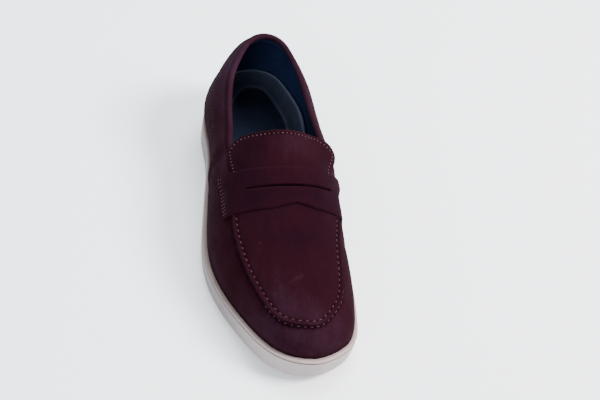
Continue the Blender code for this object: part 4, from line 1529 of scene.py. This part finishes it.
def build_strap(context):
    """Saddle strap with its slot, its notched front edge and the double stitching of its ends."""
    opened, (angle, side, rise) = strap_grid()
    flat_angle, flat_side = angle.ravel(), side.ravel()
    length = lengths_at_rises(flat_angle, flat_side, rise.ravel())
    seam = seam_length(flat_angle, flat_side, top_length(flat_angle, flat_side))
    climb = fade(length - seam, STRAP_EASE).reshape(angle.shape)
    under = STRAP_LOW + (STRAP_HIGH - STRAP_LOW) * climb
    base = last(angle, side, rise)
    half = STRAP_ROWS + 1
    to_slot = np.linalg.norm(base[:half] - base[half - 1 : half], axis=-1)
    under[:half] += SLOT_LIFT * bell(to_slot, LIP_WIDTH) * (opened / SLOT_HALF)
    ends = edge_run(base, 1)
    strips = np.concatenate([edge_run(base[:half], 0), edge_run(base[half:], 0)])
    edge = np.minimum(np.where(opened > 0, strips, edge_run(base, 0)), ends)
    drawn = sum(FINE_DRAW * bell(ends - row, DRAW_WIDTH) for row in STRAP_STITCH_ROWS)
    thick = STRAP_THICK * (STRAP_THIN + (1 - STRAP_THIN) * fade(ends, THIN_RUN))
    outer = lifted(angle, side, rise, under + thick * rounded_edge(edge, FREE_EDGE) - drawn)
    inner = lifted(angle, side, rise, under)
    rows, columns = outer.shape[:2]
    closed = opened == 0
    faces = sheet_faces(rows, columns, slot=half - 1, meeting=closed[:-1] & closed[1:])
    # painted highlight along the strap's edges
    tone = EDGE_LIGHT * bell(edge - EDGE_ROUND, EDGE_ROUND)
    layered_piece(context, "saddle_band", outer, inner, faces, tone, "saddle_strap")

    sheet = Sheet(outer)
    middle = columns // 2
    along = np.linspace(STRAP_ROW_ENDS, rows - 1 - STRAP_ROW_ENDS, STRAP_ROW_POINTS)
    runs = ends[along.astype(int)]
    for row, name, thread_name in zip(STRAP_STITCH_ROWS, STRAP_ROW_NAMES, STRAP_THREADS):
        near = [np.interp(row, run[:middle], np.arange(middle)) for run in runs]
        far = [columns - 1 - np.interp(row, run[:middle:-1], np.arange(middle)) for run in runs]
        lines = [sheet.at(along, np.array(place)) for place in (near, far)]
        sew(context, name, lines, stitch_of(context, "fine", thread_name))


def underside(share):
    """Height of the tread: flat under heel and forefoot, lifted at the arch and the toe."""
    arch_place = np.clip((share - ARCH_SHARES[0]) / (ARCH_SHARES[1] - ARCH_SHARES[0]), 0, 1)
    spring = np.clip((share - SPRING_SHARE) / (1 - SPRING_SHARE), 0, 1)
    return ARCH_LIFT * np.sin(math.pi * arch_place) ** 2 + SPRING_LIFT * spring**2


def wall_painted_shade(rings):
    """Painted shade at each point of a stack of rings, from that of each ring and of the outer side."""
    outer = WALL_SHADE * (SIDES < 0) * fade(SHARES, WALL_START) * (1 - fade(SHARES, WALL_END))
    return np.maximum(rings[:, None], outer).ravel()


def ring_piece(name, rings, closed, material, node, tone=None):
    """Piece through rings round the foot: closed on itself, or capped below and on top."""
    columns = len(rings[0])
    points = np.concatenate(rings)
    faces = ring_faces(len(rings), columns, closed)
    if not closed:
        for ring, upward in ((rings[0], False), (rings[-1], True)):
            more, corners = cap_grid(ring, len(points), upward)
            points = np.concatenate([points, more])
            faces += corners
    if tone is not None:
        tone = np.concatenate([tone, np.zeros(len(points) - len(tone))])
    return new_piece(name, points, faces, [material], node, tone=tone)


def quarter_turn(steps):
    """Angles from 0 to a right angle."""
    return np.linspace(0, 1, steps + 1) * math.pi / 2


def sole_rings():
    """Rings of the sole: round the bevel of the tread, up the side wall and in over its top."""
    floor = underside(SHARES)
    low = floor + TREAD_BEVEL
    top = FEATHER_HEIGHT(SHARES) - WELT_HEIGHT - GAP
    rings = []
    for turn in quarter_turn(TREAD_TURNS):
        inset = WALL_DRAFT + TREAD_BEVEL * (1 - math.sin(turn))
        rings.append(sole_ring(inset, floor + TREAD_BEVEL * (1 - math.cos(turn))))
    for step in np.linspace(0, 1, WALL_STEPS + 1)[1:]:
        height = low + (top - WELT_BEVEL - low) * step
        rings.append(sole_ring(WALL_DRAFT * (1 - step) ** 2, height))
    rings.append(sole_ring(TOP_TURN * WELT_BEVEL, top - TOP_TURN * WELT_BEVEL))
    rings.append(sole_ring(WELT_BEVEL, top))
    return rings


def welt_rings():
    """Rings of the welt: out along its underside, round both edges and back over its ragged top."""
    top = FEATHER_HEIGHT(SHARES)
    base = top - WELT_HEIGHT
    inside = SOLE_MARGIN - GAP
    first, second = (SEAM_RUN * wave for wave in RAGGED_WAVES)
    ragged = RAGGED * np.sin(first) * np.sin(second + RAGGED_SHIFT)
    rings = [sole_ring(inside, base)]
    for turn in quarter_turn(WELT_TURNS):
        inset = WELT_BEVEL * (1 - math.sin(turn))
        rings.append(sole_ring(inset, base + WELT_BEVEL * (1 - math.cos(turn))))
    for turn in quarter_turn(WELT_TURNS):
        height = top - WELT_ROUND * (1 - math.sin(turn)) + ragged
        rings.append(sole_ring(WELT_ROUND * (1 - math.cos(turn)), height))
    rings.append(sole_ring(inside, top + ragged))
    return rings


def build_sole(context):
    """Moulded rubber sole and the welt strip round its top."""
    settings = context.scene.loafer_sole
    rings = sole_rings()
    # painted shade along the sole's lower edge and in the groove under the welt
    painted_shade = np.zeros(len(rings))
    painted_shade[:SOLE_SHADED_RINGS] = TREAD_SHADE
    painted_shade[-SOLE_SHADED_RINGS:] = GROOVE_SHADE
    rubber = rubber_finish("sole_wall_rubber", settings.sole_colour, SOLE_SPECKLE)
    ring_piece("sole_unit", rings, False, rubber, "outsole", wall_painted_shade(painted_shade))

    rings = welt_rings()
    # painted shade where the welt lies in the groove and at the foot of the suede
    painted_shade = np.zeros(len(rings))
    painted_shade[:WELT_SHADED_RINGS] = GROOVE_SHADE
    painted_shade[-1] = FOOT_SHADE
    strip = rubber_finish("welt_strip_rubber", settings.welt_colour, WELT_SPECKLE)
    ring_piece("welt_strip", rings, True, strip, "welt", wall_painted_shade(painted_shade))


def build_insole(context):
    """Footbed with the rim round its heel and the sunk seat inside it."""
    feather_height = FEATHER_HEIGHT(SHARES)
    footbed = feather_height + FOOTBED_RISE
    heel = 1 - fade(SHARES, RIM_FADE)
    edge = SOLE_MARGIN + UPPER_WALL + INSOLE_CLEAR
    rings = [sole_ring(edge, feather_height - WELT_HEIGHT + GAP)]
    # painted highlight of each ring, dying out with the rim
    worn = [np.zeros(len(SHARES))]
    for rung in INSOLE_RUNGS:
        sunk = SEAT_STEP * heel if rung.rim == 0.0 else 1.0
        height = footbed + RIM_RISE * rung.rim * heel - rung.drop * sunk
        rings.append(sole_ring(edge + rung.inset, height))
        worn.append(rung.worn * heel)
    leather = insole_finish(context.scene.loafer_inside)
    worn = np.concatenate(worn)
    piece = ring_piece("footbed", rings, False, leather, "insole", worn)


def area_light(light, aim, strength):
    """Square soft light of the table, turned to a point."""
    lamp = bpy.data.lights.new(light.name, "AREA")
    lamp.size = light.size
    lamp.energy = light.power * strength
    lamp.color = light.colour
    body = bpy.data.objects.new(light.name, lamp)
    body.location = light.place
    body.rotation_mode = "QUATERNION"
    body.rotation_quaternion = (Vector(aim) - Vector(light.place)).to_track_quat("-Z", "Y")
    bpy.context.scene.collection.objects.link(body)


def build_stage(context):
    """Pale floor, soft lights, and the camera at the photo's angle to the shoe."""
    settings = context.scene.loafer_stage
    half = settings.floor_size / 2
    mesh = bpy.data.meshes.new("floor")
    corners = [(-half, -half, 0), (half, -half, 0), (half, half, 0), (-half, half, 0)]
    mesh.from_pydata(corners, [], [(0, 1, 2, 3)])
    paper = Finish("paper")
    paper.set(colour=settings.floor_colour, roughness=PAPER_ROUGH, gloss=PAPER_GLOSS)
    paper.set(glow=settings.floor_colour, glow_strength=settings.floor_glow)
    mesh.materials.append(paper.material)
    floor = bpy.data.objects.new("floor", mesh)
    context.scene.collection.objects.link(floor)

    world = bpy.data.worlds.new("studio")
    world.use_nodes = True
    backdrop = world.node_tree.nodes["Background"]
    backdrop.inputs["Color"].default_value = (*settings.sky_colour, 1)
    backdrop.inputs["Strength"].default_value = settings.sky_strength
    context.scene.world = world
    for light in LIGHTS:
        area_light(light, settings.camera_aim, settings.light_power)

    camera = bpy.data.cameras.new("camera")
    camera.lens = settings.lens
    camera.sensor_width = SENSOR_WIDTH
    body = bpy.data.objects.new("camera", camera)
    context.scene.collection.objects.link(body)
    place, aim = Vector(settings.camera_place), Vector(settings.camera_aim)
    facing = (aim - place).to_track_quat("-Z", "Y").to_matrix()
    rolled = facing @ Matrix.Rotation(settings.camera_roll, 3, "Z")
    body.matrix_world = Matrix.Translation(place) @ rolled.to_4x4()
    context.scene.camera = body


def colour_property(name, description, default):
    """Setting for a colour."""
    return bpy.props.FloatVectorProperty(
        name=name, description=description, default=default, subtype="COLOR", min=0.0, max=1.0)


def place_property(name, description, default):
    """Setting for a point in the frame."""
    return bpy.props.FloatVectorProperty(
        name=name, description=description, default=default, unit="LENGTH")


def number_property(name, description, default, **limits):
    """Setting for a number, with its unit or its limits."""
    return bpy.props.FloatProperty(name=name, description=description, default=default, **limits)


def length_property(name, description, default):
    """Setting for a length in metres."""
    return number_property(name, description, default, unit="LENGTH", min=0.0)


class LoaferSuede(bpy.types.PropertyGroup):
    """Colour and nap of the suede."""

    colour_low: colour_property("Dark nap", "Suede brushed flat", (0.0058, 0.0010, 0.0038))
    colour_high: colour_property("Red nap", "Suede brushed up", (0.0122, 0.0021, 0.0044))
    # dusty bloom of the nap, which also stands for the painted sheen on lit sides and rims
    colour_bloom_and_sheen: colour_property("Dusty nap", "Suede with a pale bloom", (0.0205, 0.0075, 0.0152))
    sheen: number_property("Sheen", "Strength of the soft light on the nap", 0.009, min=0.0, max=1.0)
    sheen_colour: colour_property("Sheen colour", "Tint of that light", (0.80, 0.66, 1.00))
    nap_depth: length_property("Nap depth", "Height of the nap's ruffles", 0.0003)


class LoaferInside(bpy.types.PropertyGroup):
    """Colours of lining and insole."""

    lining_colour: colour_property("Lining", "Cloth inside the upper", (0.0150, 0.0270, 0.0800))
    insole_colour: colour_property("Insole", "Leather of the footbed", (0.0078, 0.0112, 0.0215))
    # colour of the painted highlight on the footbed's rim
    rim_highlight_colour: colour_property("Worn insole", "Rubbed edges of the footbed", (0.16, 0.19, 0.27))


class LoaferStitching(bpy.types.PropertyGroup):
    """Thread and the pitch of the stitches."""

    collar_thread: colour_property("Collar thread", "Thread of the collar", (0.044, 0.018, 0.024))
    dark_thread: colour_property("Dark thread", "Thread of apron and strap", (0.082, 0.037, 0.042))
    pale_thread: colour_property("Pale thread", "Thread of tongue and strap", (0.115, 0.059, 0.074))
    seam_pitch: length_property("Seam pitch", "From stitch to stitch on the moccasin seam", 0.0047)
    seam_stitch: length_property("Seam stitch", "Length of a stitch there", 0.0025)
    seam_thread: length_property("Seam thread", "Thickness of the thread there", 0.00062)
    fine_pitch: length_property("Fine pitch", "From stitch to stitch on the other seams", 0.0031)
    fine_stitch: length_property("Fine stitch", "Length of a stitch there", 0.0013)
    fine_thread: length_property("Fine thread", "Thickness of the thread there", 0.00065)


class LoaferSole(bpy.types.PropertyGroup):
    """Colours of the sole."""

    sole_colour: colour_property("Sole", "Rubber of the sole's wall", (0.315, 0.270, 0.262))
    welt_colour: colour_property("Welt", "Rubber of the strip on top", (0.34, 0.255, 0.24))


class LoaferStage(bpy.types.PropertyGroup):
    """Camera, lights and floor."""

    camera_place: place_property("Camera", "Where the camera stands", over_origin(CAMERA_PLACE))
    camera_aim: place_property("Aim", "Point in the middle of the picture", over_origin(CAMERA_AIM))
    camera_roll: number_property(
        "Roll", "Turn of the camera about its view", math.radians(CAMERA_ROLL), unit="ROTATION")
    lens: number_property("Lens", "Focal length in millimetres", 72.0)
    floor_size: length_property("Floor", "Side of the floor", 8.0)
    floor_colour: colour_property("Floor colour", "Pale floor", (0.93, 0.95, 0.97))
    floor_glow: number_property("Floor glow", "Light that the floor itself gives", 0.15, min=0.0)
    sky_colour: colour_property("Sky", "Light from all round", (0.93, 0.96, 1.0))
    sky_strength: number_property("Sky strength", "Strength of that light", 0.50, min=0.0)
    light_power: number_property("Light power", "Multiplies the power of each light", 1.0, min=0.0)


class LOAFER_OT_upper(bpy.types.Operator):
    """Build the vamp and quarters with their lining"""

    bl_idname = "loafer.upper"
    bl_label = "Upper"
    bl_options = {"REGISTER", "UNDO"}

    def execute(self, context):
        build_upper(context)
        return {"FINISHED"}


class LOAFER_OT_apron(bpy.types.Operator):
    """Build the apron and its moccasin seam"""

    bl_idname = "loafer.apron"
    bl_label = "Apron"
    bl_options = {"REGISTER", "UNDO"}

    def execute(self, context):
        build_apron(context)
        return {"FINISHED"}


class LOAFER_OT_collar(bpy.types.Operator):
    """Build the strip round the collar"""

    bl_idname = "loafer.collar"
    bl_label = "Collar band"
    bl_options = {"REGISTER", "UNDO"}

    def execute(self, context):
        build_collar_band(context)
        return {"FINISHED"}


class LOAFER_OT_tongue(bpy.types.Operator):
    """Build the tongue flap"""

    bl_idname = "loafer.tongue"
    bl_label = "Tongue"
    bl_options = {"REGISTER", "UNDO"}

    def execute(self, context):
        build_tongue(context)
        return {"FINISHED"}


class LOAFER_OT_strap(bpy.types.Operator):
    """Build the slotted strap over the instep"""

    bl_idname = "loafer.strap"
    bl_label = "Saddle strap"
    bl_options = {"REGISTER", "UNDO"}

    def execute(self, context):
        build_strap(context)
        return {"FINISHED"}


class LOAFER_OT_sole(bpy.types.Operator):
    """Build the rubber sole and its welt"""

    bl_idname = "loafer.sole"
    bl_label = "Sole"
    bl_options = {"REGISTER", "UNDO"}

    def execute(self, context):
        build_sole(context)
        return {"FINISHED"}


class LOAFER_OT_insole(bpy.types.Operator):
    """Build the footbed"""

    bl_idname = "loafer.insole"
    bl_label = "Insole"
    bl_options = {"REGISTER", "UNDO"}

    def execute(self, context):
        build_insole(context)
        return {"FINISHED"}


class LOAFER_OT_stage(bpy.types.Operator):
    """Build floor, lights and camera"""

    bl_idname = "loafer.stage"
    bl_label = "Stage"
    bl_options = {"REGISTER", "UNDO"}

    def execute(self, context):
        build_stage(context)
        return {"FINISHED"}


OPERATORS = [
    LOAFER_OT_upper,
    LOAFER_OT_apron,
    LOAFER_OT_collar,
    LOAFER_OT_tongue,
    LOAFER_OT_strap,
    LOAFER_OT_sole,
    LOAFER_OT_insole,
    LOAFER_OT_stage,
]


class LOAFER_PT_panel(bpy.types.Panel):
    """Lists the pieces of the loafer."""

    bl_label = "Loafer"
    bl_idname = "LOAFER_PT_panel"
    bl_space_type = "VIEW_3D"
    bl_region_type = "UI"
    bl_category = "Loafer"

    def draw(self, context):
        for operator in OPERATORS:
            self.layout.operator(operator.bl_idname)
        for name, group in GROUPS.items():
            box = self.layout.box()
            settings = getattr(context.scene, name)
            for field in group.__annotations__:
                box.prop(settings, field)


GROUPS = {
    "loafer_suede": LoaferSuede,
    "loafer_inside": LoaferInside,
    "loafer_stitching": LoaferStitching,
    "loafer_sole": LoaferSole,
    "loafer_stage": LoaferStage,
}


def register():
    """Add the settings, operators and panel to Blender."""
    for name, group in GROUPS.items():
        bpy.utils.register_class(group)
        setattr(bpy.types.Scene, name, bpy.props.PointerProperty(type=group))
    for operator in OPERATORS:
        bpy.utils.register_class(operator)
    bpy.utils.register_class(LOAFER_PT_panel)


def unregister():
    """Take them out again."""
    bpy.utils.unregister_class(LOAFER_PT_panel)
    for operator in reversed(OPERATORS):
        bpy.utils.unregister_class(operator)
    for name, group in GROUPS.items():
        delattr(bpy.types.Scene, name)
        bpy.utils.unregister_class(group)


def main():
    """Build every piece and the stage."""
    register()
    bpy.ops.loafer.upper()
    bpy.ops.loafer.apron()
    bpy.ops.loafer.collar()
    bpy.ops.loafer.tongue()
    bpy.ops.loafer.strap()
    bpy.ops.loafer.sole()
    bpy.ops.loafer.insole()
    bpy.ops.loafer.stage()


if __name__ == "__main__":
    main()
